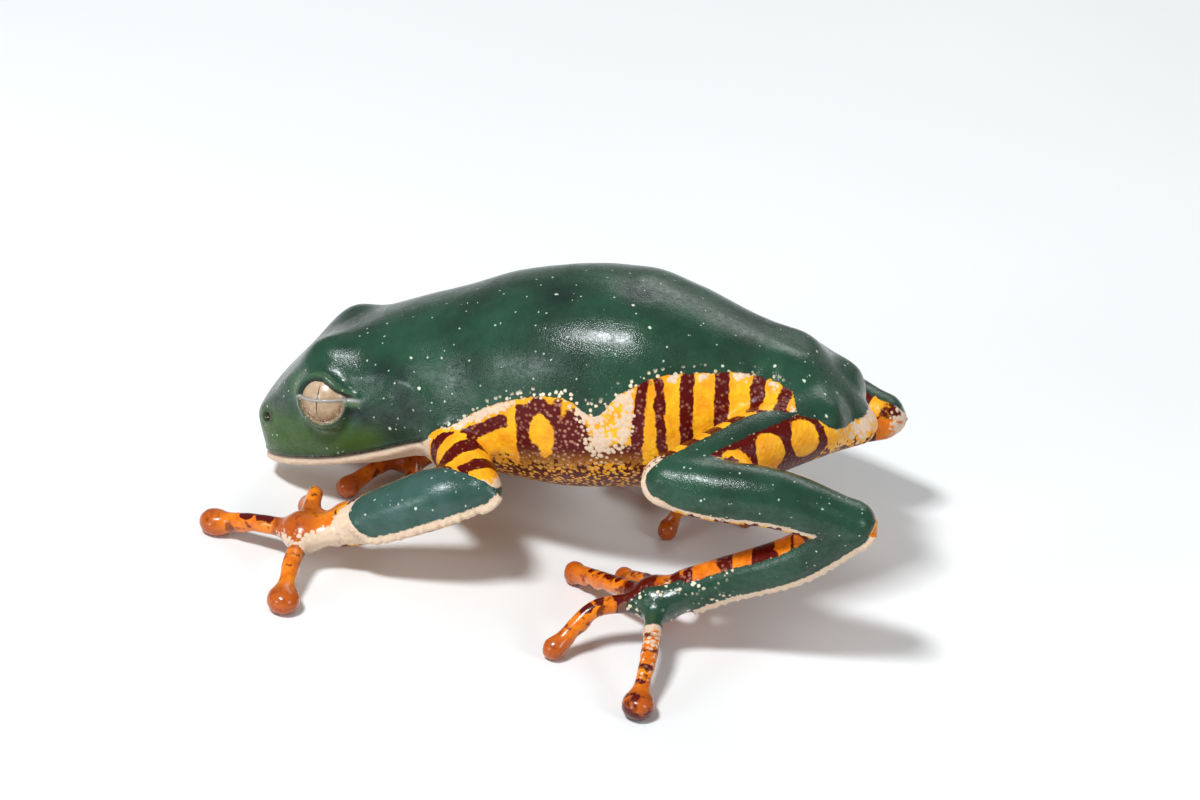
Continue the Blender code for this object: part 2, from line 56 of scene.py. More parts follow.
# Joints of the limbs, before the frog is shifted to the middle.
LIMBS = {
    "left": {
        "upper_arm": [(-12.5, -6.6, 11.2), (-9.8, -10.2, 11.2), (-7.3, -13.5, 10.4)],
        "forearm": [(-7.3, -13.5, 10.4), (-10.5, -14.1, 9.2), (-15.3, -14.7, 6.4), (-19.4, -15.2, 4.2)],
        "hand": [(-19.4, -15.2, 4.2), (-22.4, -15.8, 3.3)],
        "first_finger": [(-21.2, -15.0, 3.4), (-20.0, -11.4, 4.0), (-19.3, -8.3, 0.95)],
        "second_finger": [(-22.6, -14.9, 3.4), (-23.0, -11.2, 4.7), (-24.4, -7.3, 1.0)],
        "third_finger": [(-22.9, -15.6, 3.2), (-27.2, -15.0, 2.6), (-31.3, -14.1, 1.15)],
        "fourth_finger": [(-22.3, -17.0, 3.1), (-22.1, -20.6, 2.8), (-21.5, -24.4, 1.15)],
        "thigh": [(20.3, -4.0, 19.5), (16.4, -8.6, 18.7), (12.8, -12.9, 17.7), (9.8, -16.0, 16.9)],
        "shank": [(9.8, -16.0, 16.9), (14.0, -16.0, 17.1), (19.8, -15.4, 17.3), (26.2, -14.4, 15.9)],
        "tarsus": [(26.2, -14.4, 15.9), (21.9, -14.5, 11.4), (16.4, -14.9, 8.2), (13.0, -15.4, 6.2)],
        "foot": [(13.0, -15.4, 6.2), (10.5, -15.9, 4.9)],
        "first_toe": [(11.5, -14.9, 4.9), (12.9, -10.6, 3.2), (11.8, -6.2, 1.0)],
        "second_toe": [(10.2, -15.0, 4.8), (8.8, -10.6, 3.3), (5.8, -7.0, 1.0)],
        "third_toe": [(9.6, -15.2, 4.7), (5.6, -12.2, 3.2), (1.4, -8.4, 1.1)],
        "fourth_toe": [(9.2, -16.6, 4.6), (5.6, -18.8, 4.3), (2.9, -21.8, 1.05)],
        "fifth_toe": [(10.6, -17.4, 4.6), (11.5, -22.4, 3.7), (12.0, -27.9, 1.2)],
    },
    "right": {
        "upper_arm": [(-12.0, 6.6, 9.8), (-8.2, 11.0, 9.6), (-4.4, 14.4, 8.4)],
        "forearm": [(-4.4, 14.4, 8.4), (-7.4, 13.1, 5.6), (-11.6, 9.8, 3.9), (-15.6, 6.4, 2.8)],
        "hand": [(-15.6, 6.4, 2.8), (-18.4, 4.4, 2.2)],
        "first_finger": [(-17.8, 3.8, 2.2), (-16.8, 0.8, 1.8), (-17.0, -1.6, 0.95)],
        "second_finger": [(-19.2, 3.5, 2.1), (-20.8, 0.4, 1.7), (-22.2, -2.2, 1.0)],
        "third_finger": [(-19.8, 4.4, 2.1), (-22.6, 6.0, 1.6), (-25.4, 7.6, 1.05)],
        "fourth_finger": [(-18.6, 5.2, 2.2), (-19.9, 8.6, 1.8), (-20.8, 11.6, 1.1)],
        "thigh": [(20.5, 4.3, 18.8), (16.2, 8.8, 17.9), (11.8, 13.0, 16.2), (7.8, 16.6, 14.4)],
        "shank": [(7.8, 16.6, 14.4), (11.8, 17.0, 13.9), (17.4, 16.4, 12.9), (24.2, 15.2, 11.5)],
        "tarsus": [(24.2, 15.2, 11.5), (19.6, 14.8, 9.4), (14.5, 14.2, 6.8), (11.4, 13.6, 5.0)],
        "foot": [(11.4, 13.6, 5.0), (9.2, 13.2, 3.9)],
        "first_toe": [(9.9, 12.7, 3.9), (12.5, 11.0, 2.7), (13.9, 9.0, 1.0)],
        "second_toe": [(9.0, 12.3, 3.8), (8.4, 8.0, 2.9), (7.5, 3.3, 1.05)],
        "third_toe": [(8.2, 12.4, 3.7), (4.7, 11.2, 2.7), (0.9, 11.2, 1.15)],
        "fourth_toe": [(7.8, 13.6, 3.7), (2.6, 14.8, 2.9), (-3.0, 15.4, 1.2)],
        "fifth_toe": [(8.8, 14.6, 3.7), (6.6, 19.2, 2.7), (4.6, 23.7, 1.2)],
    },
}

# Places in the body's frame. Those of pairs are given for the right side.
EYE = (8.9, 6.15, 4.1)
EYE_LOOK = (-0.10, 0.97, 0.22)
NOSTRIL = (1.7, 3.3, 1.0)
NOSTRIL_STRETCH = (1.25, 1, 0.85)
DRUM = (16.6, 8.5, 5.2)
# Painted shade lies round the next spot, behind the eye's rear corner.
EYE_CORNER_SHADE = (12.6, 8.0, 3.2)
BROW = (6.0, 6.1, 5.0)
VENT = (57.2, 0.0, 0.3)
VENT_HALF = (1.0, 3.4, 1.3)
MOUTH_END = 18.4

# The eyeball, the closed lids' bulge over it, the lower lid's membrane, and how far inside the ball the
# skin is kept where the eye is open.
BALL_RADIUS = 2.66
LID_BULGE = 3.1
MEMBRANE = 2.76
BALL_GAP = 0.25

# The round opening between the lids: its radius, how far it lies back and down, and how much flatter it
# is above. The skin that belongs to an eye reaches a little past it.
OPENING = 2.25
OPENING_BACK = 0.16
OPENING_DOWN = 0.1
OPENING_FLATTER = 0.93
EYE_REACH = 5.0
EYE_FRONT = 0.3

# The rims of the lids: how soft the opening's and the lower lid's edges are, and the place, the width and
# the height of the lower rim and of the upper fold.
EDGE_SOFTNESS = 0.07
LID_SOFTNESS = 0.06
RIM_DOWN = 0.15
RIM_WIDTH = 0.17
RIM_HEIGHT = 0.15
FOLD_OUT = 0.3
FOLD_WIDTH = 0.22
FOLD_HEIGHT = 0.16

# The narrow rear end of the opening: where it starts and ends, and where the rim there fades.
SLIT_START = 1.2
SLIT_END = 3.0
RIM_FADE = (4.2, 3.2)

# The painted shade behind the eye, in the eye's own frame: how far back and down, and how wide.
EYE_SHADE_BACK = 2.6
EYE_SHADE_DOWN = 0.9
EYE_SHADE_REACH = 0.95

# The lids' edges, from the front corner of the eye to the rear: the place along the eye and the height.
UPPER_LID = [(-2.2, 1.1), (-1.6, 1.7), (-0.6, 2.0), (0.3, 1.95), (1.0, 1.5), (1.7, 0.95), (2.4, 0.58),
             (3.2, 0.3)]
LOWER_LID = [(-2.3, 0.42), (-0.6, 0.22), (1.2, 0.2), (2.4, 0.26), (4.2, 0.08)]

# The line between the green back and the flank, as x and z: along the mouth, then over the flank.
BORDER = [
    (-3.0, -2.95), (0.6, -2.9), (4.0, -2.5), (7.0, -2.1), (9.4, -1.6), (14.0, -0.35), (18.2, 0.9),
    (19.6, 1.7), (21.3, 2.6), (23.2, 3.8), (25.1, 4.7), (27.1, 5.3), (29.1, 5.8), (31.0, 5.9), (32.6, 5.7),
    (33.6, 4.9), (34.6, 4.1), (35.6, 4.2), (36.4, 5.2), (37.2, 6.1), (38.4, 6.5), (39.8, 7.3), (41.6, 7.5),
    (44.3, 7.4), (47.1, 7.1), (49.3, 6.5), (50.9, 5.9), (52.4, 4.9), (53.6, 3.6), (55.0, 2.5), (56.4, 1.7),
    (57.4, 1.2), (58.5, 0.8),
]

# A marking is kept as its depth: how far inside it a corner of the skin is. This is the depth far outside.
ABSENT = -3.0

# The direction that a limb's green face looks in, and half the angle that it covers, in degrees.
GREEN_FACES = {
    "forearm": ((-0.15, 0.72, 0.68), 62),
    "thigh": ((0.0, 0.28, 0.96), 20),
    "shank": ((0.0, 0.82, 0.57), 68),
    "tarsus": ((0.1, 0.99, -0.05), 48),
    "foot": ((0.1, 0.99, 0.05), 44),
}

# The share of a green face's own slope below which a corner counts as low.
LOW_SHARE = 0.6

# The pale fringe under a green face: its width, and how far its beads stand out.
FRINGE_WIDTHS = {"forearm": 1.75, "thigh": 0.35, "shank": 0.5, "tarsus": 1.15, "foot": 0.9}
BEAD_HEIGHTS = {"forearm": 0.55, "tarsus": 0.42, "shank": 0.2}
BEAD_LENGTHS = (0.72, 1.13)

# The fringe's width above the green face, its greatest depth and the slope to it, and how its beads rise:
# their usual height and waves as shares, and how far under the green they are and how wide.
FRINGE_TOP = -0.1
FRINGE_MOST = 0.8
FRINGE_SLOPE = 1.2
BEAD_BASE = 0.74
BEAD_WAVE = 0.12
BEAD_MIDDLE = 0.6
BEAD_WIDTH = 0.5

# How much wider the green is on the foot and above the middle of the shank, and how much narrower below
# it, at the knee, at the wrist, under the tarsus and at the elbow.
FOOT_WIDER = 0.5
SHANK_WIDER = 0.5
SHANK_NARROWER = 0.15
KNEE_NARROWER = 0.55
KNEE_REACH = 0.6
WRIST_NARROWER = 3.4
TARSUS_NARROWER = 0.5
ELBOW_NARROWER = 0.7

# How much wider the pale skin is at the knee and the wrist, and where the wrist starts and is full.
KNEE_PALE = 1.5
KNEE_PALE_REACH = 0.7
WRIST_PALE = 3.0
WRIST_ENDS = (3.4, 0.6)

# Directions on the limbs, given for the right side.
SHOULDER_PALE = (0.8, 0.0, 0.6)
ELBOW_PALE = (0.75, 0.3, -0.55)
HAND_PALE = (0.0, 0.6, -0.8)
HEEL_PALE = (1, 0, 0)
BEHIND_THIGH = (0.77, 0.62, -0.18)

# Dark bands: the step from one to the next, and on the tarsus each one's middle and half width.
BAND_STEPS = {"upper_arm": 2.3, "forearm": 2.2, "thigh": 2.5, "shank": 2.4, "foot": 2.2}
BAND_SHARE = 0.27
TARSUS_BANDS = [(1.9, 1.5), (5.4, 0.3), (8.4, 1.15), (12.6, 0.55), (15.6, 0.6)]
BANDED_DIGITS = ("third_finger", "second_toe", "third_toe", "fourth_toe")
DIGIT_BAND_STEP = 1.5
TOE_BAND_STEP = 1.7

# The pale ovals along the back of the thigh: the step, where they start as a share of it, half the length
# and half the width, and how far round the thigh they lie.
OVAL_STEP = 3.9
OVAL_START = 0.65
OVAL_HALF = (1.55, 1.9)
OVAL_ROUND = 3.3

# How long the brown tip of a digit is, and where the pale granules of the tarsus start and are thickest.
TIP_LENGTH = 2.4
GRANULE_SHARE = 0.85
GRANULE_ENDS = (6.5, 3.0)

# Bars across the flank: x at the top and at the bottom, half width, top and bottom level.
BARS = [
    (39.5, 38.1, 0.55, 7.0, -2.0),
    (40.9, 40.8, 0.42, 6.9, -1.5),
    (43.3, 42.8, 0.55, 7.0, -1.0),
    (46.2, 46.0, 0.62, 6.9, -1.5),
    (49.3, 49.0, 0.6, 6.2, -1.0),
    (51.9, 50.6, 0.55, 5.6, -0.5),
    (54.4, 53.6, 0.5, 4.2, -0.5),
    (28.3, 27.9, 0.62, 4.4, -1.2),
    (31.7, 31.6, 0.36, 5.4, -1.4),
]

# The slanting stripe behind the arm, and the dark ring after it.
STRIPE = [(20.6, 1.1), (23.6, 2.3), (26.2, 3.4)]
STRIPE_HALF = 0.66
STRIPE_ENDS = (20.4, 26.2)
RING_MIDDLE = (29.9, 2.1)
RING_HALF = (1.25, 2.3)

# Where the flank's dark markings start, where bars cut the pale edge, and where the throat ends.
FLANK_START = 20.2
BARS_START = 38.6
THROAT_END = 22.0

# The pale lip: how far it goes past the mouth's corner and over the mouth's line, and its depth.
LIP_PAST = 0.6
LIP_OVER = 0.3
LIP_DEPTH = 1.5

# The granular belly: between these ways of looking down, and these levels on the flank.
BELLY_LOOK = (0.2, 0.85)
BELLY_LEVELS = (1.0, -2.5)

# Pale granules along the border: where they start and end, and where they are thickest.
SPRINKLED = (19, 21, 50, 54)
SPRINKLED_MOST = 34.5
SPRINKLED_REACH = 4.5
SPRINKLED_LEAST = 0.35

# Oval blots on the flank: x and z of the middle, half length, half height, lean, depth and how it falls.
DARK_BLOTS = [
    (32.9, 1.4, 1.5, 3.0, 0.0, 0.55, 0.5),
    (28.4, 0.2, 1.2, 1.2, 0.0, 0.5, 0.5),
    (36.2, 0.3, 2.4, 1.1, 0.0, 0.45, 0.5),
]
PALE_BLOTS = [
    (37.68, 3.4, 0.85, 3.2, 0.2, 0.6, 0.62),
    (35.2, 1.6, 1.5, 1.9, 0.0, 0.5, 0.5),
    (34.3, 4.2, 1.3, 1.5, -0.5, 0.42, 0.45),
    (20.1, 0.5, 1.1, 1.3, 0.0, 0.5, 0.6),
]

# The width of the pale edge under the green of the back, along the flank.
EDGE_WIDTH = [(19, 0.6), (26, 0.6), (28, 0.28), (31, 0.1), (33, 0.25), (36, 0.45), (37.5, 0.6), (39, 0.55),
              (56, 0.3)]

# Low ridges and grooves of both sides of the head: the line, the height and the width.
HEAD_RIDGES = [
    # behind the eye
    ([(12.6, 8.2, 4.1), (13.6, 8.1, 4.3), (14.6, 8.0, 4.7)], 0.12, 0.3),
    # before the eye
    ([(6.6, 6.6, 5.6), (6.2, 6.0, 4.6), (6.5, 6.2, 3.4), (7.4, 6.8, 2.2)], 0.2, 0.42),
    # from the eye to the nostril
    ([(6.9, 5.6, 7.2), (4.8, 5.0, 5.6), (2.6, 3.6, 3.6), (1.3, 2.4, 1.6)], 0.12, 0.6),
    # over the drum
    ([(12.2, 7.4, 6.6), (15.0, 7.8, 7.2), (18.2, 8.3, 5.6), (19.6, 8.8, 3.4)], 0.16, 0.8),
    # under the eye
    ([(11.4, 8.2, 3.0), (10.6, 8.0, 1.4), (8.4, 7.4, 0.6), (6.6, 6.6, 1.2)], -0.14, 0.5),
]

# Hollows of the back: the place, how wide and how deep.
HOLLOWS = [
    ((31.2, -4.4, 13.6), 2.4, -0.26),
    ((38.2, -3.0, 13.7), 2.2, -0.24),
    ((30.0, 5.2, 13.2), 2.6, -0.12),
    ((40.0, 5.6, 12.0), 2.4, -0.12),
]

# Rows of wrinkles before the thigh and behind the arm: how high, the length of one, and where they start,
# are full, fade and end, along x and along z.
WRINKLE_HEIGHT = 0.1
THIGH_WRINKLE = 1.7
THIGH_WRINKLES = ((35, 41, 50, 54), (-2, 0, 6.5, 8))
ARM_WRINKLE = 1.5
ARM_WRINKLES = ((19, 20.5, 24.5, 27), (-3, -1, 2.6, 4))

# The drum's low ring, the nostril's rim and pit, the groove of the mouth, and the lips: each one's level
# over the line of the mouth, its width and its height.
DRUM_RING = 1.3
DRUM_HEIGHT = 0.05
NOSTRIL_RIM = 0.62
NOSTRIL_RIM_HEIGHT = 0.1
NOSTRIL_DEPTH = 0.4
NOSTRIL_EDGE = (0.5, 0.3)
GROOVE_WIDTH = 0.14
GROOVE_DEPTH = 0.26
UPPER_LIP = (0.35, 0.22, 0.1)
LOWER_LIP = (-0.55, 0.34, 0.14)

# Where the skin over the hip bones is evened, and how wide. These are pairs.
HIPS = [((53.8, 7.4, 3.8), 3.0), ((55.6, 3.4, 5.2), 2.8), ((56.8, 3.6, 2.8), 2.0)]
HIP_PASSES = 60

# Painted shade in the green: three hollows of the back, and pairs behind the eye and round the drum.
SHADED_HOLLOWS = [((31.0, -4.2, 13.6), 2.0), ((38.0, -3.0, 13.6), 1.7), ((33.5, 4.5, 13.4), 2.2)]
SHADED_CHEEKS = [
    ((14.6, 7.2, 7.2), 1.5), ((16.6, 7.7, 6.8), 1.2), ((15.2, 8.4, 3.0), 1.5),
    ((17.4, 8.7, 3.8), 1.5), ((16.4, 8.5, 5.0), 1.2), ((13.2, 8.2, 2.4), 1.0),
]

# The skin's mesh: how far the solids swell before they are joined, its grain, and how it is softened.
SWELL = 0.2
GRAIN = 0.365
MERGE_REACH = 0.001
SOFTENING = 6
PULL = 0.9
PULL_PASSES = 6
PULL_LIMITS = (-0.3, 0.45)
LAST_PASSES = 2

# How far finer corners reach from the middle of the eye, twice, from the nostril, from the mouth, from the
# middle of the head sideways and from the lines of forearms and tarsi.
EYE_DETAIL = 4.1
LID_DETAIL = 3.3
NOSTRIL_DETAIL = 1.4
MOUTH_DETAIL = 0.9
HEAD_HALF = 9.8
FRINGE_DETAIL = 3.2


def curve(knots):
    """A function that follows straight lines through the knots."""
    xs = [knot[0] for knot in knots]
    ys = [knot[1] for knot in knots]
    return lambda x: np.interp(x, xs, ys)


def smooth_path(points, pieces=8):
    """Points along a smooth line through the given ones."""
    points = [Vector(point) for point in points]
    padded = [2 * points[0] - points[1]] + points + [2 * points[-1] - points[-2]]
    path = []
    for a, b, c, d in zip(padded, padded[1:], padded[2:], padded[3:]):
        for i in range(pieces):
            t = i / pieces
            path.append(0.5 * (2 * b + (c - a) * t + (2 * a - 5 * b + 4 * c - d) * t ** 2
                               + (3 * b - a - 3 * c + d) * t ** 3))
    path.append(points[-1])
    return path


def limb_line(side, part):
    return np.array([SHIFT + point for point in smooth_path(LIMBS[side][part])])


def eye_frame(side):
    """The eye's own frame: its third axis looks out of the head, its second rises."""
    look = (Vector(EYE_LOOK) * Vector((1, side, 1))).normalized()
    rise = (Vector((0, 0, 1)) - look * look.z).normalized()
    turn = Matrix((rise.cross(look), rise, look)).transposed().to_4x4()
    return BODY @ Matrix.Translation(Vector(EYE) * Vector((1, side, 1))) @ turn


def in_frame(matrix, points):
    """The points' places in the frame that a matrix stands for."""
    inverse = np.array(matrix.inverted())
    return points @ inverse[:3, :3].T + inverse[:3, 3]


def along_line(points, line):
    """Each point's distance to a line, the length along it there, and the nearest place on it."""
    starts, ends = line[:-1], line[1:]
    lengths = np.linalg.norm(ends - starts, axis=1)
    before = np.concatenate([[0.0], np.cumsum(lengths)[:-1]])
    best = np.full(len(points), np.inf)
    along = np.zeros(len(points))
    nearest = np.zeros((len(points), 3))
    for start, end, length, done in zip(starts, ends, lengths, before):
        share = np.clip((points - start) @ (end - start) / length ** 2, 0, 1)
        spot = start + share[:, None] * (end - start)
        away = np.linalg.norm(points - spot, axis=1)
        nearer = away < best
        best[nearer] = away[nearer]
        along[nearer] = (done + share * length)[nearer]
        nearest[nearer] = spot[nearer]
    return best, along, nearest


def from_spot(place, spot):
    return np.linalg.norm(place - np.array(spot), axis=1)


def from_pair(place, spot, stretch=(1, 1, 1)):
    """The distance of places in the body's frame to a spot or its mirror image, whichever is nearer."""
    gaps = [(place - np.array(spot) * (1, side, 1)) / stretch for side in SIDES.values()]
    return np.minimum(*[np.linalg.norm(gap, axis=1) for gap in gaps])


def smooth_step(low, high, value):
    share = np.clip((value - low) / (high - low), 0, 1)
    return share * share * (3 - 2 * share)


def bell(value, width):
    return np.exp(-(value / width) ** 2)


def within(value, start, full, fade, end):
    """A smooth change from 0 at the start to 1, and back to 0 at the end."""
    return smooth_step(start, full, value) * smooth_step(end, fade, value)


def beats(value, step):
    """The distance to the nearest middle of regular steps, as a share of one."""
    return np.abs((value / step) % 1 - 0.5)


# Meshes


def add_object(name, data):
    added = bpy.data.objects.new(name, data)
    bpy.context.scene.collection.objects.link(added)
    return added


def new_mesh(name, work):
    """A mesh of its own from a bmesh, which is used up."""
    mesh = bpy.data.meshes.new(name)
    work.to_mesh(mesh)
    work.free()
    return mesh


def store(mesh, name, values):
    """Keeps a number or a place of each corner where the materials can read it."""
    kind = "FLOAT_VECTOR" if values.ndim == 2 else "FLOAT"
    layer = mesh.attributes.new(name, kind, "POINT")
    layer.data.foreach_set("vector" if values.ndim == 2 else "value", values.astype(np.float32).ravel())


def read_points(mesh):
    points = np.empty(len(mesh.vertices) * 3)
    mesh.vertices.foreach_get("co", points)
    return points.reshape(-1, 3)


def write_points(mesh, points):
    mesh.vertices.foreach_set("co", points.ravel())
    mesh.update()


def read_normals(mesh):
    normals = np.empty(len(mesh.vertices) * 3)
    mesh.vertex_normals.foreach_get("vector", normals)
    return normals.reshape(-1, 3)


def evened(mesh, values, passes):
    """Values at the mesh's corners, each mixed again and again with those of its neighbours."""
    pairs = np.empty(len(mesh.edges) * 2, dtype=np.int64)
    mesh.edges.foreach_get("vertices", pairs)
    one, two = pairs.reshape(-1, 2).T
    count = np.bincount(np.concatenate([one, two]), minlength=len(values)).astype(float)
    flat = values.reshape(len(values), -1)
    for _ in range(passes):
        total = np.zeros_like(flat)
        for column in range(flat.shape[1]):
            total[:, column] = (np.bincount(one, flat[two, column], len(values))
                                + np.bincount(two, flat[one, column], len(values)))
        flat = 0.5 * flat + 0.5 * total / count[:, None]
    return flat.reshape(values.shape)


def refine(mesh, chosen):
    """Halves the edges between the chosen corners."""
    work = bmesh.new()
    work.from_mesh(mesh)
    wanted = set(np.nonzero(chosen)[0])
    edges = [edge for edge in work.edges if edge.verts[0].index in wanted and edge.verts[1].index in wanted]
    bmesh.ops.subdivide_edges(work, edges=edges, cuts=1, use_grid_fill=True)
    work.to_mesh(mesh)
    work.free()


# The limbs, measured from the lines through them


class Limb:
    """Corners of the skin, measured from the line of one part of a limb."""

    def __init__(self, points, side, part):
        self.side = side
        self.part = part
        self.away, self.along, spot = along_line(points, limb_line(side, part))
        self.left = self.along.max() - self.along
        self.outward = (points - spot) / np.maximum(self.away, 0.01)[:, None]
        self.up = self.outward[:, 2]

    def towards(self, direction):
        """How much each corner looks in a direction, which is given for the right side."""
        return self.outward @ (np.array(direction) * (1, SIDES[self.side], 1))

    def facing(self):
        """How much each corner looks where the limb's green face looks."""
        direction = np.array(GREEN_FACES[self.part][0])
        return self.towards(direction / np.linalg.norm(direction))

    def turn(self):
        return np.arccos(np.clip(self.facing(), -1, 1))

    def low(self):
        """Whether a corner lies below the middle of the limb's green face."""
        direction = np.array(GREEN_FACES[self.part][0])
        return self.up < LOW_SHARE * direction[2] / np.linalg.norm(direction)

    def is_digit(self):
        return "finger" in self.part or "toe" in self.part

    def wrist(self):
        """From 0 on the forearm to 1 at the wrist."""
        return smooth_step(*WRIST_ENDS, self.left)


def green_depth(limb):
    """How far inside the green of a limb each corner is."""
    if limb.part == "upper_arm":
        return elbow_depth(limb) - ELBOW_NARROWER
    if limb.part not in GREEN_FACES:
        return np.full(len(limb.along), ABSENT)
    depth = (math.radians(GREEN_FACES[limb.part][1]) - limb.turn()) * limb.away
    if limb.part == "forearm":
        depth -= WRIST_NARROWER * limb.wrist()
    if limb.part == "foot":
        depth += FOOT_WIDER
    if limb.part == "shank":
        depth += np.where(limb.low(), -SHANK_NARROWER, SHANK_WIDER)
        depth -= KNEE_NARROWER * bell(limb.along, KNEE_REACH)
    if limb.part == "tarsus":
        depth -= TARSUS_NARROWER * smooth_step(0.0, -0.5, limb.up)
    return depth


def elbow_depth(limb):
    """How far inside the pale skin at the elbow each corner of the upper arm is."""
    return 1.5 * limb.towards(ELBOW_PALE) - 0.9 * limb.left


def cream_depth(limb, green):
    """How far inside the pale fringe, or another pale place of a limb, each corner is."""
    if limb.part in GREEN_FACES:
        return fringe_depth(limb, green)
    if limb.part == "upper_arm":
        shoulder = 1.6 - limb.along - 0.9 * limb.towards(SHOULDER_PALE)
        return np.maximum(shoulder, elbow_depth(limb))
    if limb.part == "hand":
        return limb.towards(HAND_PALE) + 0.15 - 0.12 * limb.along
    if limb.part == "fifth_toe" and limb.side == "left":
        return 0.25 - 0.05 * limb.along + 0.1 * limb.up
    return np.full(len(limb.along), ABSENT)


def fringe_depth(limb, green):
    """How far inside the pale fringe, the groin, the instep or the heel each corner is."""
    width = np.where(limb.low(), FRINGE_WIDTHS[limb.part], FRINGE_TOP)
    if limb.part == "shank":
        width += KNEE_PALE * bell(limb.along, KNEE_PALE_REACH)
    depth = FRINGE_SLOPE * np.minimum(green + width, FRINGE_MOST)
    if limb.part == "forearm":
        depth += WRIST_PALE * limb.wrist()
    if limb.part == "thigh":
        depth = np.maximum(depth, 0.2 - 1.2 * limb.left)
    if limb.part == "foot":
        depth = np.maximum(depth, 0.05 - 0.35 * np.abs(green))
    if limb.side == "right" and limb.part in ("tarsus", "shank"):
        from_heel = limb.along if limb.part == "tarsus" else limb.left
        depth = np.maximum(depth, 0.9 * limb.towards(HEEL_PALE) - 0.5 - from_heel)
    return depth


def maroon_depth(limb):
    """How far inside a dark band, oval or blotch of a limb each corner is."""
    if limb.part == "tarsus":
        bent = limb.along + 0.45 * np.sin(3.0 * limb.up + limb.along)
        return np.max([half - np.abs(bent - middle) for middle, half in TARSUS_BANDS], axis=0)
    if limb.part == "hand":
        return 0.25 * limb.up - 0.4
    if limb.part in BANDED_DIGITS:
        return digit_bands(limb)
    if limb.part == "fifth_toe" and limb.side == "left":
        return 0.16 - 1.2 * beats(limb.along + 0.1 * TOE_BAND_STEP * np.sin(4.0 * limb.up), TOE_BAND_STEP)
    if limb.part not in BAND_STEPS:
        return np.full(len(limb.along), ABSENT)
    step = BAND_STEPS[limb.part]
    depth = (BAND_SHARE - beats(limb.along + 0.25 * step, step)) * step
    if limb.part == "foot":
        depth -= 0.12
    if limb.part == "thigh":
        depth = np.where(limb.towards(BEHIND_THIGH) > 0, thigh_ovals(limb), depth)
    return depth


def thigh_ovals(limb):
    """The dark skin between the ovals along the back of the thigh."""
    across = np.arctan2(limb.towards(BEHIND_THIGH), limb.facing()) * limb.away
    along = beats(limb.along + OVAL_START * OVAL_STEP, OVAL_STEP) * OVAL_STEP
    outside = np.hypot(along / OVAL_HALF[0], (across - OVAL_ROUND) / OVAL_HALF[1]) - 1
    return np.minimum(1.4 * outside, 0.8)


def digit_bands(limb):
    """Thin bands over the top of a digit, and on the third finger a line along it."""
    bent = limb.along + 0.3 * np.sin(2.6 * limb.along + 2.0 * limb.up)
    top = smooth_step(0.1, 0.95, limb.up)
    depth = 0.5 * top - DIGIT_BAND_STEP * beats(bent, DIGIT_BAND_STEP) - 0.35 * (1 - top)
    depth -= smooth_step(3.2, 2.0, limb.left)
    if limb.part == "third_finger":
        line = 0.45 * smooth_step(0.5, 0.95, limb.up) - 0.15 - smooth_step(3.0, 5.0, limb.along)
        depth = np.maximum(depth, line)
    return depth


def bead_height(limb, green):
    """How far the beads of a limb's fringe stand out of it."""
    waves = sum(np.cos(limb.along * 2 * math.pi / length) for length in BEAD_LENGTHS)
    height = BEAD_HEIGHTS[limb.part] * (BEAD_BASE + BEAD_WAVE * waves)
    return height * bell(green + BEAD_MIDDLE, BEAD_WIDTH) * limb.low()


def granule_share(limb):
    """How thickly pale granules lie on the lower hind limb."""
    if limb.part == "foot":
        return GRANULE_SHARE
    return GRANULE_SHARE * smooth_step(*GRANULE_ENDS, limb.left)


# The skin's mesh


def flesh_nodes():
    return [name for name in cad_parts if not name.endswith("_eye")]


def flesh():
    """The flesh nodes in one bmesh, in millimetres."""
    work = bmesh.new()
    for name in flesh_nodes():
        work.from_mesh(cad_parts[name].data)
    bmesh.ops.scale(work, vec=(1 / MM,) * 3, verts=work.verts)
    return work


def add_bulges(work, radius):
    """Adds the two balls that the closed lids lie on."""
    for side in SIDES.values():
        bmesh.ops.create_icosphere(work, subdivisions=4, radius=radius, matrix=eye_frame(side))


def swollen_flesh():
    """The flesh nodes, swollen until they touch, with whole eye bulges."""
    work = flesh()
    bmesh.ops.remove_doubles(work, verts=work.verts, dist=MERGE_REACH)
    work.normal_update()
    for vert in work.verts:
        vert.co += vert.normal * SWELL
    add_bulges(work, LID_BULGE + SWELL / 2)
    return new_mesh("flesh", work)


def pull_to_solids(mesh):
    """Moves the skin back onto the solids, by an amount that changes smoothly over it."""
    solids = flesh()
    add_bulges(solids, LID_BULGE)
    tree = BVHTree.FromBMesh(solids)
    solids.free()
    points = read_points(mesh)
    reach = np.zeros(len(points))
    for i, point in enumerate(points):
        spot, facing, _, away = tree.find_nearest(Vector(point))
        outside = (Vector(point) - spot).dot(facing) > 0
        reach[i] = away if outside else -away
    reach = evened(mesh, np.clip(reach, *PULL_LIMITS), PULL_PASSES)
    write_points(mesh, points - read_normals(mesh) * (reach * PULL)[:, None])


def head_detail(place):
    """The corners round the eyes and the nostrils and along the mouth."""
    x, y, z = place.T
    mouth = (x < MOUTH_END) & (np.abs(y) < HEAD_HALF) & (np.abs(z - curve(BORDER)(x)) < MOUTH_DETAIL)
    return mouth | (from_pair(place, NOSTRIL) < NOSTRIL_DETAIL) | (from_pair(place, EYE) < EYE_DETAIL)


def fringe_detail(points):
    """The corners along the beaded fringes of forearms and tarsi."""
    chosen = np.zeros(len(points), dtype=bool)
    for side in SIDES:
        for part in ("forearm", "tarsus"):
            limb = Limb(points, side, part)
            past = np.degrees(limb.turn()) - GREEN_FACES[part][1]
            chosen |= (limb.away < FRINGE_DETAIL) & (past > -6) & (past < 36) & (limb.up < 0.2)
    return chosen


